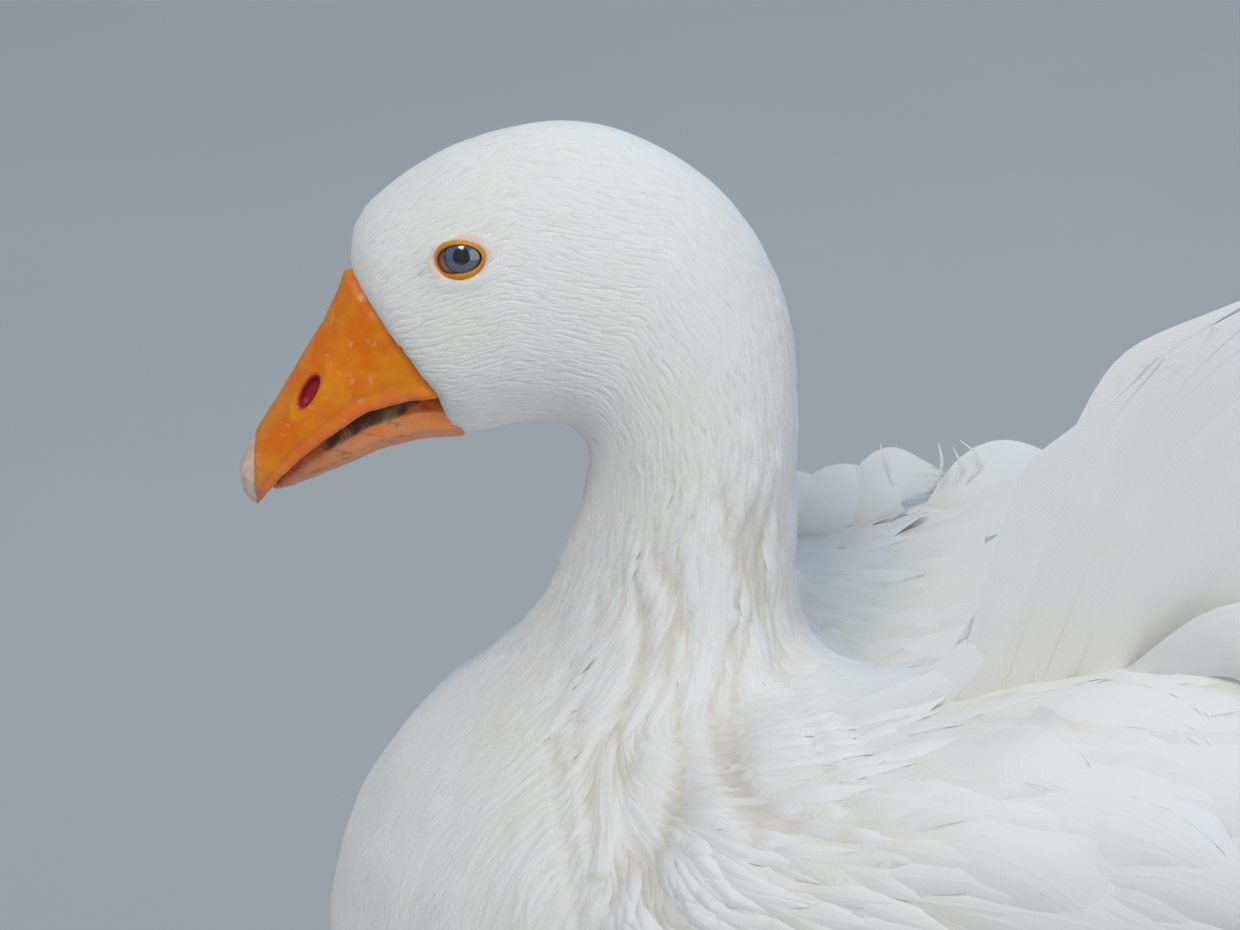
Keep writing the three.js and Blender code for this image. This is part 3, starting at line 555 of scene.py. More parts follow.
class Coat:
    """The goose's skin as something that feathers grow on."""

    ROUNDS = 160  # of smoothing the lie over the skin
    STIFF = 0.06  # how little the lie gives way off the heaps of scapulars

    def __init__(self, mesh):
        self.places, self.normals = places_of(mesh), normals_of(mesh)
        mesh.calc_loop_triangles()
        self.faces = numbers(mesh.loop_triangles, "vertices", 3, int)
        self.tree = BVHTree.FromPolygons(self.places.tolist(), self.faces.tolist())
        along, _, way = growth(self.places)
        leg = smooth(-design(self.places)[:, 1], -168, -128) * (along > 9)
        way = self.flattened(way * (1 - leg[:, None]) + np.array([0.1, 0, -1.0]) * leg[:, None])
        heaped = smooth(ridge_height(self.places), 2, 6) * on_wing(self.places)
        free = np.maximum(heaped, self.STIFF)[:, None]
        steady, edges = way.copy(), edges_of(mesh)
        for _ in range(self.ROUNDS):
            way = self.flattened(neighbour_mean(edges, len(way), way))
            way = unit(steady * (1 - free) + way * free)
        corners = self.places[self.faces]
        cross = np.cross(corners[:, 1] - corners[:, 0], corners[:, 2] - corners[:, 0])
        self.areas = np.linalg.norm(cross, axis=1) / 2
        self.face_normals = unit(self.normals[self.faces].sum(axis=1))
        self.face_ways = unit(way[self.faces].sum(axis=1))
        self.along = along[self.faces].mean(axis=1)
        centres = corners.mean(axis=1)
        self.x, self.z = design(centres).T
        self.y = centres[:, 1] / MM

    def flattened(self, ways):
        """Ways turned into the skin's surface."""
        return unit(ways - self.normals * (ways * self.normals).sum(axis=1)[:, None])

    def nearest(self, place):
        """The skin's point, normal and lie nearest to a place."""
        spot, _, face, _ = self.tree.find_nearest(place)
        return spot, self.face_normals[face], self.face_ways[face]

    def scatter(self, spacing, wanted, seed, tries=14):
        """Roots spread evenly over the wanted faces, by darts that keep their distance."""
        draw = np.random.default_rng(seed)
        room = np.broadcast_to(spacing, len(self.faces)) * MM
        weight = np.where(wanted, self.areas / room**2, 0)
        count = int(weight.sum() * tries)
        chosen = draw.choice(len(weight), size=count, p=weight / weight.sum())
        u, v = draw.random(count), draw.random(count)
        swap = u + v > 1
        u[swap], v[swap] = 1 - u[swap], 1 - v[swap]
        first, second, third = self.places[self.faces[chosen]].transpose(1, 0, 2)
        spots = first + (second - first) * u[:, None] + (third - first) * v[:, None]
        cell = float(room[wanted].max())
        taken, kept = {}, []
        around = [(a, b, c) for a in (-1, 0, 1) for b in (-1, 0, 1) for c in (-1, 0, 1)]
        for index, (spot, gap) in enumerate(zip(spots, room[chosen])):
            key = tuple((spot // cell).astype(int))
            cells = ((key[0] + a, key[1] + b, key[2] + c) for a, b, c in around)
            rivals = (other for near in cells for other in taken.get(near, ()))
            if all(((spot - other) ** 2).sum() > gap * gap for other in rivals):
                taken.setdefault(key, []).append(spot)
                kept.append(index)
        return spots[kept]


# ---------------------------------------------------------------- vanes
# The neck's furrows: sizes in mm, and where they begin and end along the growth lines and up them.
FURROW = {"radius": 36.0, "width": 6.2, "length": 30.0, "height": 2.1, "wave": 0.04,
          "begin": (4.2, 5.8), "end": (7.6, 9.0), "throat": (0.06, 0.4), "nape": (0.78, 0.97),
          "finer": (3.2, 9.2)}
PATCH = 0.003  # size of a tuft's patch on the unwrap
# How uneven locks and sheets are, as shares of their raggedness.
TATTER = {"slip": 0.25, "spread": 0.6, "sway": 0.3, "notch": 0.05}


def outline(t, waist, widest, tip):
    """Half width of a vane along its length, as a share of its greatest."""
    swell = waist + (1 - waist) * smooth(t, 0.0, widest)
    fall = 1 - (1 - tip) * np.clip((t - widest) / (1 - widest), 0, 1) ** 1.8
    return np.where(t < widest, swell, fall)


def turned(vectors, axes, angles):
    """Vectors turned round unit axes."""
    cos, sin = np.cos(angles)[:, None], np.sin(angles)[:, None]
    return vectors * cos + np.cross(axes, vectors) * sin


def noise_at(places, scale=1.0, seed=0.0):
    shift = Vector((seed, seed * 0.7, -seed))
    return np.array([noise.noise(Vector(place) * scale + shift) for place in places.tolist()])


def relief(places):
    """Furrows of the coat: height in mm over its even surface, and 1 on ridges to 0 in grooves, where the
    plumage paints shade.
    """
    along, share, _ = growth(places)
    run = np.interp(along, np.arange(len(LIE)), STATION_RUN)
    angle = np.arccos(1 - 2 * share) * np.sign(places[:, 1])
    angle = angle + FURROW["wave"] * np.sin(run / 9 + 3 * angle)
    strength = smooth(along, *FURROW["begin"]) * (1 - smooth(along, *FURROW["end"]))
    strength = strength * (0.35 + 0.65 * smooth(share, *FURROW["throat"]))
    strength = strength * (1 - 0.6 * smooth(share, *FURROW["nape"]))
    fine = FURROW["radius"] / FURROW["width"]
    spots = np.stack([np.cos(angle) * fine, np.sin(angle) * fine, run / FURROW["length"]], axis=-1)
    ridges = smooth(np.abs(noise_at(spots)), -0.05, 0.33)
    return FURROW["height"] * strength * (ridges - 0.6), 1 - strength * (1 - ridges)


def nestle(t, crest=0.5, root=-0.3, tip=-0.3):
    """Height of a vane that leaves the down, crests and dips back among those behind it."""
    return root + (1 - root) * smooth(t, 0, crest) - (1 - tip) * smooth(t, crest, 1)


def lay(coat, roots, length, rows, high, dips, veer=0.0, curl=0.0, sweep=0.0):
    """Spines, face directions and groove shares of vanes that grow from roots along the coat. high
    is how far a spine stands over the skin at its crest, and dips says how it nestles."""
    count = len(roots)
    spots, normals, ways = (np.zeros((rows, count, 3)) for _ in range(3))
    here = np.array(roots, float)
    for row in range(rows):
        for index in range(count):
            spots[row, index], normals[row, index], ways[row, index] = coat.nearest(here[index])
        turn = np.broadcast_to(veer + sweep * (row / (rows - 1)) ** 1.5, count)
        here = spots[row] + turned(ways[row], normals[row], turn) * (length / (rows - 1))[:, None]
    t = np.linspace(0, 1, rows)[:, None]
    lift = high * nestle(t, *dips) + curl * length * t**3
    rise, ridge = relief(spots.reshape(-1, 3))
    spines = spots + normals * (lift + rise.reshape(rows, count) * MM)[:, :, None]
    return spines.transpose(1, 0, 2), normals.transpose(1, 0, 2), 1 - ridge.reshape(rows, count).T


def bends(coat, spines, ups, width):
    """How far the coat falls away under each vane's side edges, as the mean of the two sides and
    half their difference."""
    count, rows = spines.shape[:2]
    ahead = unit(np.gradient(spines, axis=1))
    across = unit(np.cross(ups, ahead)) * np.broadcast_to(width / 2, count)[:, None, None]
    sides = np.stack([spines - across, spines, spines + across]).reshape(-1, 3)
    spots = np.array([coat.tree.find_nearest(place)[0] for place in sides])
    spots = spots.reshape(3, count, rows, 3)
    height = (spots * ups).sum(axis=-1) + relief(sides)[0].reshape(3, count, rows) * MM
    fall = height[[0, 2]] - height[1]
    return np.stack([fall.mean(axis=0), (fall[1] - fall[0]) / 2], axis=-1)


def whole(rows, columns):
    """A vane as one sheet: its places across, -1 to 1, and along, 0 to 1."""
    u, t = np.meshgrid(np.linspace(-1, 1, columns), np.linspace(0, 1, rows))
    return u[None], t[None]


def locks(count, rows, columns=3):
    """A vane as soft locks side by side, each a narrow strip that tapers toward its own tip."""
    run = np.linspace(0, 1, rows)[:, None]
    across = np.linspace(-1, 1, columns)[None, :]
    places = -1 + (2 * np.arange(count)[:, None, None] + 1) / count
    half = 1.9 / count * (1 - 0.8 * run**4)
    u = places * (0.86 + 0.2 * run) + across * half
    return u, np.broadcast_to(run + 0 * across, u.shape)


class Vanes:
    """Many closed thin vanes gathered into one mesh."""

    def __init__(self):
        self.points, self.faces, self.uv, self.bake, self.values, self.rims = [], [], [], [], [], []
        self.count = 0

    def add(self, spines, ups, width, shape, layout, cup, thick, blunt, ragged,
            tone, bake, twist=0.0, groove=None, bend=None):
        """Spines and ups have one row of places for each vane. shape is (waist, widest, tip), and
        groove is each place's share of the furrows, which the plumage darkens as painted shade."""
        count, steps = spines.shape[:2]
        sheets, rows, columns = layout[0].shape
        ahead = unit(np.gradient(spines, axis=1))
        across = unit(np.cross(ups, ahead))
        above = np.cross(ahead, across)
        angle = (np.broadcast_to(twist, count)[:, None] * np.linspace(0, 1, steps) ** 1.5)[..., None]
        across, above = (across * np.cos(angle) + above * np.sin(angle),
                         above * np.cos(angle) - across * np.sin(angle))
        reach = np.linalg.norm(np.diff(spines, axis=1), axis=2).sum(axis=1)
        width = np.broadcast_to(width, count)
        wide, long, cupped = (np.broadcast_to(each, count)[:, None, None, None]
                              for each in (width, reach, cup))
        u, t = (np.broadcast_to(part, (count, sheets, rows, columns)) for part in layout)
        run = np.linspace(0, 1, rows)[:, None]
        if sheets > 1:
            slip, spread = (ragged * rng.normal(0, TATTER[key], (count, sheets, 1, 1))
                            for key in ("slip", "spread"))
            u = u * (1 + spread * run)
            t = t + slip * run**1.5
        else:
            u = u * (1 + ragged * rng.normal(0, TATTER["sway"], (count, sheets, rows, 1)) * (run > 0.3))
            t = t - np.abs(rng.normal(0, 1, u.shape)) * ragged * TATTER["notch"] * run**3
        inner = np.clip(t, 0, 1)
        half = wide / 2 * outline(inner, *shape)
        index = np.minimum((inner * (steps - 1)).astype(int), steps - 2)
        part = (inner * (steps - 1) - index)[..., None]
        vane = np.arange(count)[:, None, None, None]

        def along(values):
            return values[vane, index] * (1 - part) + values[vane, index + 1] * part

        here_ahead, here_across, here_above = along(ahead), along(across), unit(along(above))
        back = blunt * half * u**2 * smooth(t, 0.45, 1.0) - (t - inner) * long
        drop = cupped * half * u**2
        if sheets > 1:  # every other lock lies a little higher
            drop = drop - thick * np.where(np.arange(sheets) % 2, 0.3, -0.1)[:, None, None]
        middle = (along(spines) + here_across * (half * u)[..., None] - here_ahead * back[..., None]
                  - here_above * drop[..., None])
        if bend is not None:
            share, fall = (half * u / wide * 2)[..., None], along(bend)
            middle = middle + here_above * (fall[..., :1] * share**2 + fall[..., 1:] * share)
        lens = (1 - np.linspace(-1, 1, columns) ** 2) * np.maximum(np.sin(np.pi * run), 0.02)
        body = here_above * (thick * lens[..., None] / 2)
        shade = np.zeros(u.shape) if groove is None else along(groove[..., None])[..., 0]
        vanes = count * sheets

        def both(top, under):
            """The values of the top of every sheet, and of its underside, which shares the top's rim."""
            sides = (top, under[:, :, 1:-1, 1:-1])
            return np.concatenate([side.reshape(vanes, -1, *side.shape[4:]) for side in sides], axis=1)

        points = both(middle + body, middle - body)
        flat = both(*[np.stack([(u + 1) / 2, t], axis=-1)] * 2)
        per = points.shape[1]
        grid = np.arange(rows * columns).reshape(rows, columns)
        below = grid.copy()
        below[1:-1, 1:-1] = np.arange(rows * columns, per).reshape(rows - 2, columns - 2)
        quads = [np.stack([g[:-1, :-1], g[1:, :-1], g[1:, 1:], g[:-1, 1:]], axis=-1).reshape(-1, 4)
                 for g in (grid, below)]
        quads[1] = quads[1][:, ::-1]
        starts = self.count + np.arange(vanes)[:, None, None] * per
        self.count += vanes * per
        self.faces.append((np.concatenate(quads)[None] + starts).reshape(-1, 4))
        self.points.append(points.reshape(-1, 3))
        self.uv.append(flat.reshape(-1, 2))
        spot = np.repeat(bake, sheets, axis=0)[:, None]
        self.bake.append((spot + (np.clip(flat, 0, 1) - 0.5) * PATCH).reshape(-1, 2))
        self.rims.append(np.tile(np.isin(np.arange(per), grid[below == grid]), vanes))
        values = np.stack(np.broadcast_arrays(tone, width / 2, reach), axis=-1)
        values = np.repeat(values, per * sheets, axis=0)
        self.values.append(np.column_stack([values, both(shade, shade).ravel()]))
        return self

    def layers(self, spine, up, width, layers, **looks):
        """One loose feather of layers, each with its lift in mm, its share of the width and its form."""
        for lift, share, *form in layers:
            self.add((spine + up * lift * MM)[None], up[None], np.array([width * share]), *form, **looks)

    def piece(self, name, material, *replaced):
        mesh = bpy.data.meshes.new(name)
        mesh.from_pydata(np.concatenate(self.points), [], np.concatenate(self.faces))
        corners = numbers(mesh.loops, "vertex_index", 1, int)
        for layer_name, values in (("Vane", self.uv), ("OFBake", self.bake)):
            layer = mesh.uv_layers.new(name=layer_name)
            layer.uv.foreach_set("vector", np.concatenate(values)[corners].astype(np.float32).ravel())
        names = ("tone", "breadth", "reach", "groove")
        for attribute, values in zip(names, np.concatenate(self.values).T):
            set_attribute(mesh, attribute, values)
        rims = np.concatenate(self.rims)
        sharp = mesh.attributes.new("sharp_edge", "BOOLEAN", "EDGE")
        sharp.data.foreach_set("value", rims[edges_of(mesh)].all(axis=1))
        mesh.polygons.foreach_set("use_smooth", np.ones(len(mesh.polygons), bool))
        mesh.update()
        return finish_piece(add_object(name, mesh), material, "plumage", *replaced)


# ---------------------------------------------------------------- skin
FLESH = ("head", "neck", "trunk", "thigh_left", "thigh_right")
SKIN = {"grain": 0.003, "softness": 14, "evening": 10}


def skin_piece(material):
    """One skin for head, neck, trunk, thighs and folded wings, under the coat by its depth."""
    flesh_shape = merged_copy(*FLESH, "eye_left", "eye_right", "eyelid_left", "eyelid_right")
    thing = refined(flesh_shape, "skin", SKIN["grain"], SKIN["softness"])
    mesh = thing.data
    places, normals = places_of(mesh), normals_of(mesh)
    lift = wing_lift(places, normals)
    for _ in range(SKIN["evening"]):
        lift = neighbour_mean(edges_of(mesh), len(places), lift)
    depth = np.interp(growth(places)[0], *zip(*COAT_DEPTH))
    set_places(mesh, places + normals * ((lift - depth) * MM)[:, None])
    return finish_piece(thing, material, "plumage", *FLESH, "wing_left", "wing_right")


def furrowed(thing):
    """Gives the skin of the neck the furrows that its feathers follow, on a finer grain."""
    first, last = FURROW["finer"]

    def on_neck(middles):
        along = growth(middles)[0]
        return (along > first) & (along < last)

    finer(thing, on_neck)
    places, normals = places_of(thing.data), normals_of(thing.data)
    set_places(thing.data, places + normals * ((relief(places)[0] - 0.15) * MM)[:, None])


# The hollow under an eye ring: its depth and rim in mm, over these shares of the ring's outline, and
# how far from the opening the skin round it is read and evened, in mm.
HOLLOW = {"depth": 5.5, "within": (0.6, 0.97), "rim": 0.9, "fade": (1.0, 1.7), "above": 0.55, "below": 1.2,
          "read": (11, 17), "evened": (10.0, 12.5), "finer": 5.0}


def bared(thing):
    """Draws the skin in under the eyelids and evens it round them."""
    finer(thing, lambda middles: near_eye(middles, HOLLOW["finer"]), 2)
    places, normals = places_of(thing.data), normals_of(thing.data)
    for side in SIDES.values():
        gaze = np.array(eye_frame(side)[3])
        x, y, out = from_ring(places, side)
        away = np.hypot(x, y)
        terms = np.stack([np.ones_like(x), x, y, x * x, x * y, y * y], axis=-1)
        nearest, farthest = HOLLOW["read"]
        sound = (away > nearest) & (away < farthest) & (out > 0) & (normals @ gaze > 0.6)
        fit = np.linalg.lstsq(terms[sound], out[sound], rcond=None)[0]
        breadth = LID["width"] * np.where(y > 0, HOLLOW["above"], HOLLOW["below"])
        reach = np.hypot(x / (LID["half"][0] + LID["width"]), y / (LID["half"][1] + breadth))
        even = (terms @ fit + HOLLOW["rim"] * (1 - smooth(reach, *HOLLOW["fade"]))
                - HOLLOW["depth"] * (1 - smooth(reach, *HOLLOW["within"])))
        near = (1 - smooth(away, *HOLLOW["evened"])) * (out > 0)
        places = places + gaze * ((even - out) * near * MM)[:, None]
    set_places(thing.data, places)
    set_attribute(thing.data, "bare", near_eye(places, LID["bare"]).astype(float))


# ---------------------------------------------------------------- eyes
def eye_frame(side):
    """The eyeball's middle and its ahead, upward and outward ways."""
    up, ahead, slope = (math.radians(EYE[key]) for key in ("up", "ahead", "slope"))
    gaze = Vector((-math.sin(ahead) * math.cos(up), side * math.cos(ahead) * math.cos(up), math.sin(up)))
    forward = Vector((-math.cos(slope), 0, -math.sin(slope)))
    upward = gaze.cross(forward).normalized()
    if upward.z < 0:
        upward = -upward
    forward = (forward - gaze * forward.dot(gaze)).normalized()
    surface = Vector(EYE["at"])
    middle = at(surface.x, side * abs(surface.y), surface.z) - gaze * (EYE["radius"] * MM)
    return middle, forward, upward, gaze


def eye_turn(side):
    """The matrix that sets a shape made round the origin, with its gaze along z, at one eye."""
    middle, forward, upward, gaze = eye_frame(side)
    turn = Matrix((forward, upward, gaze)).transposed().to_4x4()
    return Matrix.Translation(middle) @ turn


def from_ring(places, side):
    """Places as millimetres ahead of, above and outward from the middle of an eye's opening."""
    middle, forward, upward, gaze = (np.array(part) for part in eye_frame(side))
    off = (places - middle) / MM
    return off @ forward - LID["ahead"], off @ upward + LID["down"], off @ gaze


def near_eye(places, grow):
    """True where a place lies under an eye ring grown by some millimetres."""
    hidden = np.zeros(len(places), bool)
    half_x, half_y = (half + LID["width"] + grow for half in LID["half"])
    for side in SIDES.values():
        x, y, out = from_ring(places, side)
        hidden |= ((x / half_x) ** 2 + (y / half_y) ** 2 < 1) & (out > 0)
    return hidden


def eye_piece(name, side, material, replaced):
    """An eyeball with a raised cornea, flattened where its ring hides it."""
    shape = bmesh.new()
    bmesh.ops.create_uvsphere(shape, u_segments=64, v_segments=40, radius=EYE["radius"] * MM)
    half_x, half_y = LID["half"][0] + 0.5 * LID["width"], LID["half"][1] + 0.4 * LID["width"]
    out, turn = [], []
    for vert in shape.verts:
        x, y = vert.co.x / MM, vert.co.y / MM
        turn.append(math.atan2(y, x))
        out.append(EYE["radius"])
        if vert.co.z > 0:
            out[-1] = math.hypot(x, y)
            beyond = math.hypot((x - LID["ahead"]) / half_x, (y + LID["down"]) / half_y)
            bulge = EYE["cornea"] * max(0.0, 1 - (out[-1] / (EYE["iris"] * 1.1)) ** 2)
            vert.co.z += (bulge - EYE["sink"] * float(smooth(beyond, 1.0, 1.3))) * MM
    shape.transform(eye_turn(side))
    bmesh.ops.recalc_face_normals(shape, faces=shape.faces)
    mesh = to_mesh(shape, name)
    set_attribute(mesh, "from_pupil", out)
    set_attribute(mesh, "turn", turn)
    mesh.polygons.foreach_set("use_smooth", np.ones(len(mesh.polygons), bool))
    return finish_piece(add_object(name, mesh), material, "eye", replaced)


# Profile of an eye ring, from its lip on the ball outwards: distance from the opening and height
# over the ball, as shares of the ring's width there.
RING_PROFILE = [(-0.10, -0.5), (0.0, 0.12), (0.12, 0.38), (0.34, 0.50), (0.62, 0.42), (0.88, 0.18),
                (1.08, -0.25), (1.42, -0.55), (1.5, -1.4), (0.6, -1.6), (0.05, -1.2)]
RING_SCALE = 0.2  # of the profile while it is spun round an opening of radius 1
CORNER = {"turn": -0.62, "half": 0.42}  # where the opening runs out at the rear, in radians


def lid_piece(name, side, material, replaced):
    """The fleshy ring round an eye: its profile spun round the opening and fitted to the ball."""
    shape = bmesh.new()
    ring = [shape.verts.new((1 + RING_SCALE * out, 0, RING_SCALE * high)) for out, high in RING_PROFILE]
    edges = [shape.edges.new(pair) for pair in zip(ring, ring[1:] + ring[:1])]
    bmesh.ops.spin(shape, geom=ring + edges, cent=(0, 0, 0), axis=(0, 0, 1), angle=2 * math.pi,
                   steps=72, use_merge=True, use_duplicate=False)
    bmesh.ops.remove_doubles(shape, verts=shape.verts, dist=1e-5)
    half_x, half_y = LID["half"]
    lips, skirts = [], []
    for vert in shape.verts:
        reach, high = math.hypot(vert.co.x, vert.co.y), vert.co.z / RING_SCALE
        out = (reach - 1) / RING_SCALE
        cos, sin = vert.co.x / reach, vert.co.y / reach
        turn, front = math.atan2(sin, cos), max(cos, 0.0)
        uneven = 1 + 0.75 * front**2 - 0.2 * max(-cos, 0.0) ** 2 - (0.3 if sin > 0 else 0.35) * sin
        corner = LID["corner"] * hump(turn, CORNER["turn"], CORNER["half"])
        rim = 1 / math.hypot(cos / half_x, sin / half_y) + corner
        if out > 0.5:
            out += 0.22 * noise.noise(Vector((cos * 9, sin * 9, side * 3.0))) + 0.10 * math.sin(34 * turn)
        x = cos * (rim + out * LID["width"] * uneven) + LID["ahead"]
        y = sin * (rim + out * LID["width"] * uneven) - LID["down"]
        depth = math.sqrt(max((EYE["radius"] + LID["over"]) ** 2 - x * x - y * y, 4.0))
        vert.co = Vector((x, y, depth + high * LID["rise"] * (1 + 0.3 * front))) * MM
        lips.append(0.0 if high < -1.0 else 1 - float(smooth(out, -0.02, 0.18)))
        skirts.append(float(smooth(out, 0.95, 1.25)))
    shape.transform(eye_turn(side))
    bmesh.ops.recalc_face_normals(shape, faces=shape.faces)
    mesh = to_mesh(shape, name)
    set_attribute(mesh, "lip", lips)
    set_attribute(mesh, "skirt", skirts)
    thing = add_object(name, mesh)
    rounder = thing.modifiers.new("rounder", "SUBSURF")
    rounder.levels = rounder.render_levels = 1
    settle(thing)
    return finish_piece(thing, material, "eyelid", replaced)


# ---------------------------------------------------------------- bill
# Lines across the bill from its base to its tip, each from its lower edge to its upper.
UPPER_BILL = [
    ((-40, 392), (-68.5, 425)), ((-47.4, 388.2), (-73, 411.5)), ((-55, 386), (-77, 402.6)),
    ((-65.5, 382.6), (-82.2, 394.2)), ((-77, 374), (-88.4, 383.2)), ((-83, 368.8), (-93, 375.6)),
    ((-88.7, 362.7), (-97.2, 368.6)), ((-92.4, 357.7), (-99.9, 362)), ((-94.8, 353.6), (-99.3, 356.2)),
    ((-96, 351.4), (-97.6, 352.2)),
]
LOWER_BILL = [
    ((-42, 372.5), (-42, 389)), ((-54, 370.5), (-55, 386.5)), ((-62.5, 367.8), (-66, 382.8)),
    ((-70.2, 364), (-77.4, 374.4)), ((-79, 360.2), (-84.4, 367.8)), ((-85.6, 357.4), (-89.4, 362)),
    ((-90, 356), (-92, 358.4)),
]
NOSTRIL = {"at": (-80.8, 386.4), "half": (5.5, 1.9), "slope": 60.0}
# How far each form of the upper bill stands out, in mm.
BILL_FORMS = {"lip": 0.55, "groove": -0.4, "rim": 0.45, "crease": -0.35, "pit": -1.7, "knob": 1.1}
COMB = {"corner": (-42, 388), "pitch": 1.25, "height": 0.16, "sunk": 0.2}
FEATHER_LINE = [(-44.8, 357), (-45.8, 371), (-47.4, 388), (-70.8, 418), (-74.8, 430)]


def tucked(places):
    """Draws the bill's rear end back under the feathers."""
    x, z = design(places).T
    line_x, line_z = zip(*FEATHER_LINE)
    behind = smooth(x - np.interp(z, line_z, line_x), -2.2, -0.4)
    return places * np.stack([np.ones_like(x), 1 - 0.06 * behind, np.ones_like(x)], axis=-1) \
        + np.stack([behind * 6.0 * MM, 0 * x, 0 * x], axis=-1)


def bill_part(node, grain, softness, lines):
    """Half of the bill on an even grain, with the place of its points along and up its lines."""
    thing = refined(merged_copy(node), f"{node}_skin", grain, softness)
    places, normals = places_of(thing.data), normals_of(thing.data)
    station, between, share = stations(design(places), lines, -1)
    set_attribute(thing.data, "toward_tip", (station + between) / (len(lines) - 1))
    return thing, places, normals, station + between, share


def bill_upper_piece(material):
    thing, places, normals, station, share = bill_part("bill_upper", 0.00055, 16, UPPER_BILL)
    x, z = design(places).T
    slope = math.radians(NOSTRIL["slope"])
    ahead, high = x - NOSTRIL["at"][0], z - NOSTRIL["at"][1]
    long_way = (ahead * math.cos(slope) + high * math.sin(slope)) / NOSTRIL["half"][0]
    wide_way = high * math.cos(slope) - ahead * math.sin(slope)
    from_nostril = np.hypot(long_way, wide_way / NOSTRIL["half"][1])
    outer = smooth(np.abs(places[:, 1]) / MM, 6.5, 8.5)
    forms = {
        "lip": hump(share, 0.05, 0.07) * smooth(station, 0.8, 2.0),
        "groove": hump(share, 0.21, 0.06) * smooth(station, 1.2, 2.5),
        "rim": hump(from_nostril, 1.55, 0.35) * outer,
        "crease": hump(wide_way, -5.2, 0.55) * np.exp(-((long_way / 1.25) ** 4)) * outer,
        "pit": (1 - smooth(from_nostril, 0.5, 1.0)) * outer,
        "knob": hump(x, -50.5, 2.4) * hump(z, 388.3, 1.9),
    }
    rise = sum(BILL_FORMS[key] * form for key, form in forms.items())
    rise = rise + noise_at(places, 300, 3.0) * 0.14 + noise_at(places, 1100, 9.0) * 0.05
    set_places(thing.data, tucked(places + normals * (rise * MM)[:, None]))
    edge = forms["lip"] + 0.5 * forms["groove"] + 0.6 * forms["crease"]
    set_attribute(thing.data, "edge", np.clip(edge, 0, 1))
    set_attribute(thing.data, "hollow", (1 - smooth(from_nostril, 0.85, 1.15)) * outer)
    return finish_piece(thing, material, "bill", "bill_upper")


def bill_lower_piece(material):
    thing, places, normals, station, share = bill_part("bill_lower", 0.0005, 12, LOWER_BILL)
    comb = smooth(share, 0.60, 0.76) * (1 - smooth(share, 0.96, 1.06)) * (1 - smooth(station, 2.8, 3.8))
    from_corner = np.linalg.norm(design(places) - np.array(COMB["corner"]), axis=1)
    plates = COMB["height"] * np.sin(from_corner * 2 * np.pi / COMB["pitch"])
    rise = comb * (plates - COMB["sunk"]) + noise_at(places, 500, 5.0) * 0.15
    set_places(thing.data, tucked(places + normals * (rise * MM)[:, None]))
    start = 0.87 - 0.30 * smooth(station, 0.1, 1.5)
    line = smooth(share, start, start + 0.15) * (1 - smooth(station, 2.6, 3.8)) * smooth(station, 0.0, 0.2)
    set_attribute(thing.data, "edge", line)
    return finish_piece(thing, material, "bill", "bill_lower")


def nail_piece(material):
    """The bill's nail, its rear edge drawn back into the bill."""
    thing = refined(merged_copy("bill_nail"), "bill_nail_horn", 0.0004, 10)
    places = places_of(thing.data)
    rear = smooth(design(places)[:, 0], -99.0, -96.2)
    places[:, 0] += 1.1 * rear * MM
    places[:, 1] *= 1 - 0.10 * rear
    set_places(thing.data, places)
    return finish_piece(thing, material, "bill_nail", "bill_nail")


# ---------------------------------------------------------------- legs
SCUTES = {"shank": 4.4, "toe": 3.2, "height": 0.28, "rough": 0.2, "sole": 1.2}


def leg_piece(side_name, material):
    """Shank and foot in one scaly surface, with a knuckle at the ankle."""
    nodes = (f"shank_{side_name}", f"foot_{side_name}")
    shape = merged_copy(*nodes)
    shank = places_of(NODES[nodes[0]].data)
    ankle = shank[shank[:, 2] < shank[:, 2].min() + 4 * MM]
    knuckle = Matrix.Translation(ankle.mean(axis=0) - np.array([0, 0, 2 * MM]))
    bmesh.ops.create_uvsphere(shape, u_segments=24, v_segments=16, matrix=knuckle,
                              radius=np.ptp(ankle[:, 1]) / 2)
    thing = refined(shape, f"leg_skin_{side_name}", 0.0009, 12)
    places, normals = places_of(thing.data), normals_of(thing.data)
    x, z = design(places).T
    front = smooth(-normals[:, 0], 0.1, 0.7) * smooth(z, 16, 26)
    top = smooth(normals[:, 2], 0.4, 0.8) * (1 - smooth(z, 14, 20))
    scutes = (np.sin(z * 2 * np.pi / SCUTES["shank"]) * front
              + 0.5 * np.sin((x - 160) * 2 * np.pi / SCUTES["toe"]) * top)
    rise = SCUTES["height"] * scutes + SCUTES["rough"] * noise_at(places, 260, 2.0)
    rise = np.where(z < SCUTES["sole"], 0, rise)
    set_places(thing.data, places + normals * (rise * MM)[:, None])
    return finish_piece(thing, material, "leg", *nodes)


def claws_piece(material):
    names = [name for name in NODES if name.startswith("claw_")]
    thing = refined(merged_copy(*names), "claws", 0.0004, 3)
    return finish_piece(thing, material, "claw", *names)


# ---------------------------------------------------------------- coat
MARGIN = 0.015  # left free round the map
COAT_EDGE = 24.0  # mm over which the wing's coat takes over from the neck's and the body's
TIP_COVER = -0.3  # mm that a feather's tip may reach under an eye ring


def unwrap(places):
    """Each place on a flat map of the skin: along the growth lines and round them."""
    along, share, _ = growth(places)
    round_way = 0.5 + 0.47 * share * np.where(places[:, 1] < 0, -1, 1)
    return MARGIN + (1 - 2 * MARGIN) * np.stack([along / (len(LIE) - 1), round_way], axis=-1)


def sizes(along, stops, spread):
    """Sizes in metres at places along the body, each a little smaller or larger."""
    return np.interp(along, *zip(*stops)) * rng.uniform(*spread, len(along)) * MM


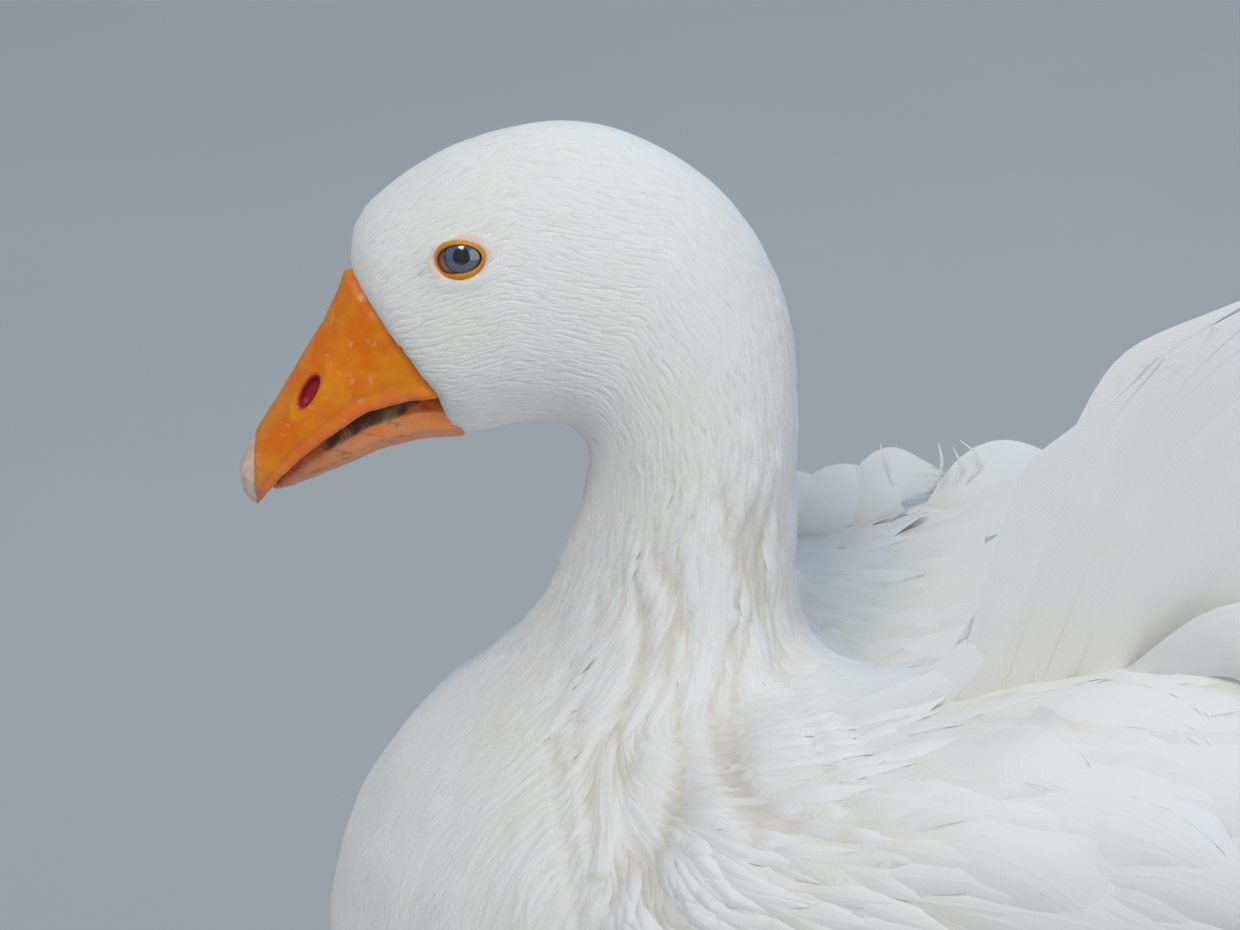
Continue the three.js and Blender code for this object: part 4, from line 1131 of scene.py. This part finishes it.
def clothe(coat, roots, length, width, high, rows, dips, veer, form, sweep=0.0):
    """A vane on every root whose tip stays clear of the eyes. form is the vanes' outline, layout,
    cup, thickness, bluntness and raggedness."""
    spines, ups, groove = lay(coat, roots, length, rows, high, dips, veer, sweep=sweep)
    clear = ~near_eye(spines[:, -1], TIP_COVER)
    looks = {"tone": rng.uniform(0, 1, clear.sum()), "bake": unwrap(roots[clear]), "groove": groove[clear],
             "bend": bends(coat, spines, ups, width)[clear]}
    shape, layout, cup, *rest = form
    cup = np.broadcast_to(cup, len(roots))[clear]
    return Vanes().add(spines[clear], ups[clear], width[clear], shape, layout, cup, *rest, **looks)


def head_coat(coat, material):
    """Fine short vanes over the face, crown and nape."""
    spacing = np.interp(coat.along, (0, 2, 4, 5), (1.0, 1.4, 1.95, 2.3))
    roots = coat.scatter(spacing, coat.along < 4.6, 11)
    roots = roots[~near_eye(roots, 0.2)]
    along = growth(roots)[0]
    length = sizes(along, [(0, 3.2), (1, 6.0), (3, 10), (4.6, 14)], (0.8, 1.25))
    width = sizes(along, [(0, 1.3), (1, 1.6), (3, 2.2), (4.6, 3.0)], (0.8, 1.2))
    vanes = clothe(coat, roots, length, width, width / 2 * 0.16, 4, (0.5,), rng.normal(0, 0.1, len(roots)),
                   ((0.5, 0.4, 0.25), whole(4, 3), 0.3, 0.0001, 1.2, 0.0))
    return vanes.piece("coat_head", material)


def neck_coat(coat, material, side_name):
    """Narrow soft tufts that follow the furrows of the neck."""
    side = SIDES[side_name]
    wanted = (coat.along > 4.0) & (coat.along < 8.1) & (coat.y * side > -0.5)
    roots = coat.scatter(np.interp(coat.along, (4, 6, 8), (2.0, 2.6, 3.4)), wanted, 12 + side)
    roots = roots[on_wing(roots, COAT_EDGE) < 0.35]
    along = growth(roots)[0]
    length = sizes(along, [(4, 15), (5.5, 24), (8, 32)], (0.7, 1.25))
    width = sizes(along, [(4, 2.8), (5.5, 3.5), (8, 4.6)], (0.7, 1.3))
    high = width / 2 * 0.32 * rng.uniform(0.6, 1.4, len(roots))
    vanes = clothe(coat, roots, length, width, high, 9, (0.6,), rng.normal(0, 0.1, len(roots)),
                   ((0.5, 0.42, 0.06), whole(9, 3), 0.72, 0.0002, 0.5, 0.04))
    return vanes.piece(f"coat_neck_{side_name}", material)


def body_coat(coat, material, side_name):
    """Soft contour feathers of breast, belly, flank and thigh."""
    side = SIDES[side_name]
    spacing = np.interp(coat.along, (7.4, 8, 9, 11, 13), (3.0, 3.4, 4.6, 7.5, 8.0))
    roots = coat.scatter(spacing, (coat.along > 7.5) & (coat.y * side > -0.5), 21 + side)
    roots = roots[on_wing(roots, COAT_EDGE) < 0.6]
    along = growth(roots)[0]
    thigh = smooth(-design(roots)[:, 1], -165, -125)
    length = sizes(along, [(7.4, 22), (8, 26), (9, 32), (11, 38), (13, 44)], (0.85, 1.2))
    width = sizes(along, [(7.4, 5.2), (8, 6.4), (9, 10), (11, 17), (13, 20)], (0.8, 1.2))
    length, width = length * (1 - 0.45 * thigh), width * (1 - 0.35 * thigh)
    high = width / 2 * np.interp(along, (7.4, 9, 13), (0.42, 0.28, 0.26))
    vanes = clothe(coat, roots, length, width, high, 6, (0.55,), rng.normal(0, 0.1, len(roots)),
                   ((0.45, 0.5, 0.25), whole(6, 5), 0.34, 0.0003, 1.0, 0.04))
    return vanes.piece(f"coat_body_{side_name}", material)


def wing_coat(coat, material, side_name):
    """Soft coverts over the folded wing and the back, longer toward the tail."""
    side = SIDES[side_name]
    wanted = (coat.along > 6.6) & (coat.y * side > -1) & (coat.x < 352)
    roots = coat.scatter(7.0 + 2.2 * smooth(coat.x, 60, 150), wanted, 31 + side)
    roots = roots[on_wing(roots, COAT_EDGE) >= 0.4]
    count = len(roots)
    x, z = design(roots).T
    behind = smooth(x - wing_front(z), 0, 90)
    above = smooth(z, 225, 275) * (1 - smooth(z, 322, 330))
    length = (28 + 28 * behind) * rng.uniform(0.8, 1.25, count) * MM
    width = (9 + 8 * behind) * rng.uniform(0.8, 1.2, count) * MM
    vanes = clothe(coat, roots, length, width, width / 2 * 0.2, 9, (0.6, -0.3, -0.15),
                   side * rng.normal(0.0, 0.14, count),
                   ((0.5, 0.5, 0.3), locks(3, 9), 0.46 + 0.3 * (1 - behind), 0.0004, 0.9, 0.12),
                   side * 0.6 * behind * above)
    return vanes.piece(f"coat_wing_{side_name}", material)


SCAPULAR = {"gap": 19.0, "length": (58, 92), "width": (26, 40), "inner": 14, "front": 62, "rear": 300,
            "low": 190, "high": 0.13, "veer": (0.06, 0.12), "curl": (1.2, 0.006), "sweep": (0.7, 1.3)}


def scapulars(coat, material, side_name):
    """Long broad feathers that lie loosely over the shoulder and the coverts behind it."""
    side = SIDES[side_name]
    wanted = ((coat.y * side > SCAPULAR["inner"]) & (coat.x > SCAPULAR["front"])
              & (coat.x < SCAPULAR["rear"]) & (coat.z > SCAPULAR["low"]))
    roots = coat.scatter(SCAPULAR["gap"], wanted, 41 + side)
    roots = roots[on_wing(roots) > 0.9]
    count = len(roots)
    length = rng.uniform(*SCAPULAR["length"], count) * MM
    width = rng.uniform(*SCAPULAR["width"], count) * MM
    x, z = design(roots).T
    arch = smooth(z, 225, 275) * (1 - smooth(z, 322, 330)) * (1 - smooth(x, 180, 260))
    veer = side * rng.normal(*SCAPULAR["veer"], count) - side * 0.25 * smooth(-z, -320, -240)
    curl = rng.gamma(*SCAPULAR["curl"], count)
    sweep = side * arch * rng.uniform(*SCAPULAR["sweep"], count)
    spines, ups, _ = lay(coat, roots, length, 12, width / 2 * SCAPULAR["high"], (0.65, -0.3, 0.05),
                         veer, curl, sweep)
    looks = {"tone": rng.uniform(0, 1, count), "bake": unwrap(roots),
             "bend": bends(coat, spines, ups, width)}
    sheet = ((0.35, 0.5, 0.3), whole(12, 9), 0.2, 0.0004, 1.0, 0.02)
    strips = ((0.4, 0.55, 0.35), locks(7, 12), 0.2, 0.0003, 1.0, 0.22)
    vanes = Vanes().add(spines, ups, width * 0.9, *sheet, **looks)
    vanes.add(spines + ups * 0.2 * MM, ups, width, *strips, **looks)
    return vanes.piece(f"coat_scapulars_{side_name}", material)


WISPS = [  # place along the body, height, length, width and curl
    (50, 333, 24, 7, 0.06), (59, 334, 26, 8, 0.10), (74, 336, 28, 8, 0.12), (92, 336, 30, 9, 0.05),
    (122, 334, 30, 10, 0.08), (150, 332, 36, 12, 0.12), (180, 330, 36, 12, 0.10), (215, 326, 38, 13, 0.12),
    (250, 320, 36, 12, 0.10),
]


def wisps(coat, material):
    """Small loose feathers that curl up from the heaps of scapulars."""
    vanes = Vanes()
    for side in SIDES.values():
        count = len(WISPS)
        x, height, length, width, curl = np.array(WISPS, float).T
        y = side * (62 + rng.normal(0, 3, count))
        roots = np.stack([x * MM + NECK_X, y * MM, height * MM], axis=-1)
        veer = rng.normal(0, 0.3, count)
        spines, ups, _ = lay(coat, roots, length * MM, 8, 0.001, (0.3, -0.3, 1.0), veer, curl)
        vanes.add(spines, ups, width * MM, (0.4, 0.45, 0.15), locks(3, 10), 0.35, 0.0003, 1.0, 0.3,
                  tone=rng.uniform(0.5, 1, count), bake=unwrap(roots), twist=rng.normal(0, 0.4, count))
    return vanes.piece("wisps", material)


CUFF = {"rim": 4.0, "count": 22, "width": 9.0, "steps": 6, "rows": [(16, 8), (12, 14), (20, 3)]}


def cuffs(material):
    """Short feathers that hang round the top of each bare leg."""
    vanes = Vanes()
    count, steps = CUFF["count"], CUFF["steps"]
    t = np.linspace(0, 1, steps)
    swell = 1.02 + 0.30 * np.sin(np.pi * t**0.8)
    strips = ((0.6, 0.5, 0.25), locks(3, 7), 0.4, 0.0003, 1.0, 0.15)
    for side_name in SIDES:
        leg = places_of(NODES[f"shank_{side_name}"].data)
        top = leg[:, 2].max()
        rim = leg[leg[:, 2] > top - CUFF["rim"] * MM]
        middle, reach = rim.mean(axis=0), np.ptp(rim, axis=0) / 2
        for row, (above, below) in enumerate(CUFF["rows"]):
            turn = (np.arange(count) + 0.5 * row + rng.normal(0, 0.15, count)) * 2 * np.pi / count
            out = np.stack([np.cos(turn), np.sin(turn), 0 * turn], axis=-1)[:, None]
            spines = middle + out * reach * swell[:, None]
            spines[..., 2] = top + (above - (above + below) * t * rng.uniform(0.85, 1.15, (count, 1))) * MM
            vanes.add(spines, np.repeat(out, steps, axis=1), CUFF["width"] * MM, *strips,
                      tone=rng.uniform(0, 1, count), bake=unwrap(spines[:, 0]))
    return vanes.piece("leg_cuffs", material)


def curve(points, rows):
    """A smooth run of places through a few points in millimetres of the design."""
    points = np.array(points, float)
    points = np.vstack([2 * points[0] - points[1], points, 2 * points[-1] - points[-2]])
    t = np.linspace(0, len(points) - 3, rows)
    k = np.minimum(t.astype(int), len(points) - 4)
    f = (t - k)[:, None]
    p0, p1, p2, p3 = (points[k + i] for i in range(4))
    path = (2 * p1 + (p2 - p0) * f + (2 * p0 - 5 * p1 + 4 * p2 - p3) * f**2
            + (3 * p1 - p0 - 3 * p2 + p3) * f**3) / 2
    return path * MM + np.array([NECK_X, 0, 0])


# Loose feathers along the top of the right shoulder, the last few fine curls: root, middle, tip and width.
CREST = [
    (((28, 55, 312), (44, 60, 326), (64, 66, 329)), 16),
    (((42, 58, 315), (60, 62, 328), (82, 68, 330)), 16),
    (((66, 60, 316), (75, 63, 331), (93, 67, 330)), 17),
    (((84, 60, 316), (105, 62, 332), (136, 67, 329)), 20),
    (((116, 60, 317), (140, 63, 331), (172, 68, 324)), 19),
    (((148, 60, 315), (172, 63, 327), (204, 69, 318)), 18),
    (((75, 62, 332), (73, 62, 338), (72, 63, 343)), 0.8),
    (((88, 62, 331), (89, 62, 338), (88, 63, 343)), 0.9),
    (((92, 62, 331), (94, 62, 337), (92, 63, 342)), 0.7),
    (((96, 62, 331), (99, 62, 339), (94, 63, 344)), 0.7),
]


def crest(material):
    """The loose feathers that stand along the right shoulder."""
    vanes = Vanes()
    up = unit(np.tile(np.array([0.0, -1.0, 0.35]), (16, 1)))
    sheet = (0.0, 0.9, (0.5, 0.5, 0.3), whole(14, 9), 0.2, 0.0006, 1.0, 0.02)
    strips = (0.3, 1.0, (0.5, 0.5, 0.35), locks(5, 14), 0.2, 0.0004, 1.0, 0.2)
    wire = (0.3, 1.0, (0.5, 0.5, 0.35), whole(14, 3), 0.2, 0.0004, 1.0, 0.02)
    for points, width in CREST:
        spine = curve(points, 16)
        vanes.layers(spine, up, width * MM, [sheet, strips] if width > 10 else [wire],
                     tone=1.0, bake=unwrap(spine[:1]), twist=rng.normal(0, 0.08))
    return vanes.piece("crest_right", material)


# Raised feathers, each with its root, middle and tip on the right side, to be mirrored, and its width.
PLUMES = [
    (((94, 63, 320), (119.5, 65, 368), (142, 67, 416)), 40),
    (((109, 64.5, 321), (138, 66.5, 387), (182, 69, 440)), 50),
    (((124, 66, 320), (164, 68, 399), (228, 71, 440)), 54),
    (((145, 67.5, 319), (194, 69.5, 391), (266, 73, 414)), 54),
    (((168, 69, 318), (222, 71, 367), (296, 75, 372)), 50),
]
PLUME_FOOT = [  # shorter feathers at the foot of the plumes
    (((48, 57, 312), (72, 62, 322), (96, 64, 335)), 12),
    (((60, 58, 312), (84, 63, 329), (104, 64, 350)), 15),
    (((80, 59, 313), (97, 63, 334), (115, 63, 366)), 22),
    (((98, 60, 314), (122, 65, 340), (152, 65, 384)), 32),
    (((122, 60, 315), (152, 67, 339), (190, 68, 370)), 40),
    (((152, 62, 315), (186, 69, 335), (230, 71, 358)), 40),
]
STRAY = [  # loose feathers that curl over the shoulder by the plumes' foot
    (((124, 66, 325), (156, 82, 346), (188, 95, 322)), 22),
    (((158, 68, 322), (194, 85, 341), (226, 98, 312)), 24),
]
PLUME_STEPS = 26


def plumes(material):
    """The raised scapular plumes of the left side."""
    paths = PLUMES[:1]
    for (points, width), (later_points, later_width) in zip(PLUMES, PLUMES[1:]):
        between = (np.array(points, float) + np.array(later_points, float)) / 2
        paths = paths + [(between, (width + later_width) / 2 * 0.86), (later_points, later_width)]
    vanes = Vanes()
    up = unit(np.tile(np.array([0.1, -1.0, 0.12]), (PLUME_STEPS, 1)))
    feathers = [(*path, 0.55) for path in paths + PLUME_FOOT] + [(*path, 0.2) for path in STRAY]
    for points, width, waist in feathers:
        points = np.array(points, float) * np.array([1, -1, 1])
        points += rng.normal(0, 1.2, (3, 3)) * np.array([1, 0.3, 1])
        points[0] += (points[0] - points[1]) * 0.2
        spine = curve(points, PLUME_STEPS)
        sheet = (0.0, 0.94, (waist, 0.6, 0.45), whole(26, 13), 0.10, 0.0009, 1.0, 0.012)
        strips = (0.5, 1.04, (waist, 0.6, 0.5), locks(9, 22), 0.10, 0.0005, 1.0, 0.16)
        vanes.layers(spine, up, width * MM, [sheet, strips] if width > 16 else [sheet],
                     tone=0.9 - 0.1 * rng.random(), bake=unwrap(spine[:1]), twist=rng.normal(0, 0.05))
    return vanes.piece("plumes_left_vanes", material, "plumes_left")


RIBBON = {"count": 6, "first": 58, "pitch": 39, "root": 224, "drop": 90, "sweep": 48, "width": 43,
          "bow": 114, "ends": 26, "uneven": 9, "spread": (0.78, 0.95)}


def ribbons(coat, material, side_name):
    """Long loose feathers that hang below the wing, rooted under its coverts."""
    side = SIDES[side_name]
    vanes = Vanes()
    up = np.tile(np.array([0.0, side, 0.05]), (16, 1))
    layers = [(0.0, 0.9, (0.45, 0.6, 0.35), whole(16, 9), 0.3, 0.0005, 1.0, 0.03),
              (0.25, 1.0, (0.45, 0.6, 0.4), locks(7, 16), 0.3, 0.0004, 1.0, 0.3)]
    for index in np.arange(0, RIBBON["count"] - 0.4, 0.5):
        x = RIBBON["first"] + RIBBON["pitch"] * index
        share = 2 * index / (RIBBON["count"] - 1) - 0.9
        bow = RIBBON["bow"] - 20 * share**2 - 2.5 * (index % 1 > 0)
        low = RIBBON["root"] - RIBBON["drop"] + RIBBON["ends"] * share**2
        low += RIBBON["uneven"] * (round(index) % 2) + rng.normal(0, 3)
        sweep = RIBBON["sweep"] + rng.normal(0, 6)
        points = [(x - 10, bow - 8, RIBBON["root"] + 14), (x + sweep * 0.25, bow - 1, 196),
                  (x + sweep * 0.62, bow, (196 + low) / 2), (x + sweep, bow - 3, low)]
        for k, out in ((0, -3.0), (1, 1.0)):  # the root in the coat and the next place just over it
            there, outward, height = points[k]
            over = side * coat.nearest(at(there, side * outward, height))[0].y / MM + out
            points[k] = (there, min(outward, over), height)
        spine = curve(np.array(points) * np.array([1, side, 1]), 16)
        vanes.layers(spine, up, RIBBON["width"] * rng.uniform(*RIBBON["spread"]) * MM, layers,
                     tone=rng.random(), bake=unwrap(spine[:1]), twist=rng.normal(0, 0.2))
    return vanes.piece(f"ribbons_{side_name}", material)


QUILLS = {"count": 3, "root": 228, "step": 8, "length": 168, "width": 38}


def quills(material, side_name):
    """Folded quills that cross over the rump."""
    side = SIDES[side_name]
    vanes = Vanes()
    up = unit(np.tile(np.array([0.05, side * 0.78, 0.62]), (20, 1)))
    layers = [(0.0, 0.95, (0.45, 0.55, 0.3), whole(18, 9), 0.16, 0.0012, 1.0, 0.02),
              (0.65, 1.0, (0.45, 0.55, 0.3), locks(9, 18), 0.16, 0.0005, 1.0, 0.12)]
    for index in np.arange(0, QUILLS["count"] - 0.4, 0.5):
        root = QUILLS["root"] + QUILLS["step"] * index
        points = [(root, side * (66 - 12 * index), 300 + 5 * index),
                  (312 + 6 * index, side * (46 - 11 * index), 300 + 3 * index),
                  (root + QUILLS["length"] + 4 * index, side * (27 - 7 * index), 290 + 5 * index)]
        spine = curve(points, 20)
        vanes.layers(spine, up, QUILLS["width"] * rng.uniform(0.85, 0.98) * MM, layers,
                     tone=rng.random(), bake=unwrap(spine[:1]))
    return vanes.piece(f"quills_{side_name}_vanes", material, f"quills_{side_name}")


# Each row of the tail has its count, its share of the length, and how far back and up it is set.
TAIL = {"root": (330, 263), "length": 136, "width": 33, "spread": 30, "rise": 9, "droop": 12, "steps": 16,
        "rows": [(17, 1.0, 0, 0), (13, 0.66, 18, 5), (11, 0.48, 34, 9)]}


def tail(material):
    """A fan of tail feathers, with two shorter rows of coverts over it."""
    vanes = Vanes()
    t = np.linspace(0, 1, TAIL["steps"])
    sheet = (0.0, 1.0, (0.6, 0.65, 0.5), whole(14, 9), 0.18, 0.0010, 1.0, 0.03)
    for count, reach_share, back, above in TAIL["rows"]:
        for index in range(count):
            share = 2 * index / (count - 1) - 1
            turn = math.radians(TAIL["spread"] * share)
            reach = TAIL["length"] * (1 - 0.12 * share**2) * reach_share + rng.normal(0, 1.5)
            level = TAIL["root"][1] - TAIL["droop"] * share**2 + above * (1 - 0.5 * share**2)
            x = TAIL["root"][0] - back + reach * t * math.cos(turn)
            y = 14 * share + reach * t * math.sin(turn)
            z = level + (reach * t * math.sin(math.radians(TAIL["rise"])) * (1 - 0.35 * t)
                         - above * 0.7 * t * (1 - 0.5 * share**2)) + 0.5 * (index % 2)
            spine = np.stack([x * MM + NECK_X, y * MM, z * MM], axis=-1)
            up = unit(np.tile(np.array([-0.1, 0.25 * share, 1.0]), (len(t), 1)))
            vanes.layers(spine, up, TAIL["width"] * rng.uniform(0.9, 1.0) * MM, [sheet],
                         tone=rng.random(), bake=unwrap(spine[:1]))
    return vanes.piece("tail_vanes", material, "tail")


# ---------------------------------------------------------------- stage
def floor_material():
    shade = Shade("floor", **{"Roughness": 0.9})
    cloud = shade.grain(shade.place(), 3.0, 4.0)
    return shade.finish(**{"Base Color": shade.mix(cloud, (0.47, 0.46, 0.44), (0.51, 0.50, 0.48))})


def add_floor():
    shape = bmesh.new()
    bmesh.ops.create_grid(shape, x_segments=8, y_segments=8, size=7.0)
    floor = add_object("floor", to_mesh(shape, "floor"))
    floor.data.materials.append(floor_material())


LIGHTS = [  # name, place from the aim, size, watts, color
    ("key", (-0.65, -1.15, 2.0), 0.9, 24.5, (1.0, 0.94, 0.86)),
    ("fill", (1.4, -1.5, 0.7), 1.8, 15.5, (0.92, 0.93, 0.97)),
    ("back", (0.6, 1.6, 1.5), 1.6, 13.0, (0.62, 0.79, 1.0)),
]


def add_lights():
    for name, place, size, watts, color in LIGHTS:
        data = bpy.data.lights.new(name, "AREA")
        data.energy, data.size, data.color = watts, size, color
        lamp = bpy.data.objects.new(name, data)
        lamp.location = AIM + Vector(place)
        lamp.rotation_euler = (-Vector(place)).to_track_quat("-Z", "Y").to_euler()
        bpy.context.scene.collection.objects.link(lamp)
    world = bpy.data.worlds.new("studio")
    world.use_nodes = True
    sky = world.node_tree.nodes["Background"]
    sky.inputs["Color"].default_value = (0.68, 0.83, 1.0, 1)
    sky.inputs["Strength"].default_value = 0.42
    bpy.context.scene.world = world


# ---------------------------------------------------------------- the goose
add_camera()
add_lights()
add_floor()

plumage = plumage_material()
skin = skin_piece(skin_material())
bared(skin)
coat = Coat(skin.data)
furrowed(skin)

head_coat(coat, plumage)
for side_name in SIDES:
    neck_coat(coat, plumage, side_name)
    body_coat(coat, plumage, side_name)
    wing_coat(coat, plumage, side_name)
    scapulars(coat, plumage, side_name)
    ribbons(coat, plumage, side_name)
    quills(plumage, side_name)
wisps(coat, plumage)
crest(plumage)
cuffs(plumage)
plumes(plumage)
tail(plumage)

eye_wet, eye_ring = eye_material(), lid_material()
for side_name, side in SIDES.items():
    eye_piece(f"eyeball_{side_name}", side, eye_wet, f"eye_{side_name}")
    lid_piece(f"eye_ring_{side_name}", side, eye_ring, f"eyelid_{side_name}")

bill_upper_piece(bill_material())
bill_lower_piece(comb_material())
nail_piece(nail_material())

leg_scales = leg_material()
for side_name in SIDES:
    leg_piece(side_name, leg_scales)
claws_piece(claw_material())

bpy.context.scene.view_settings.view_transform = "Standard"
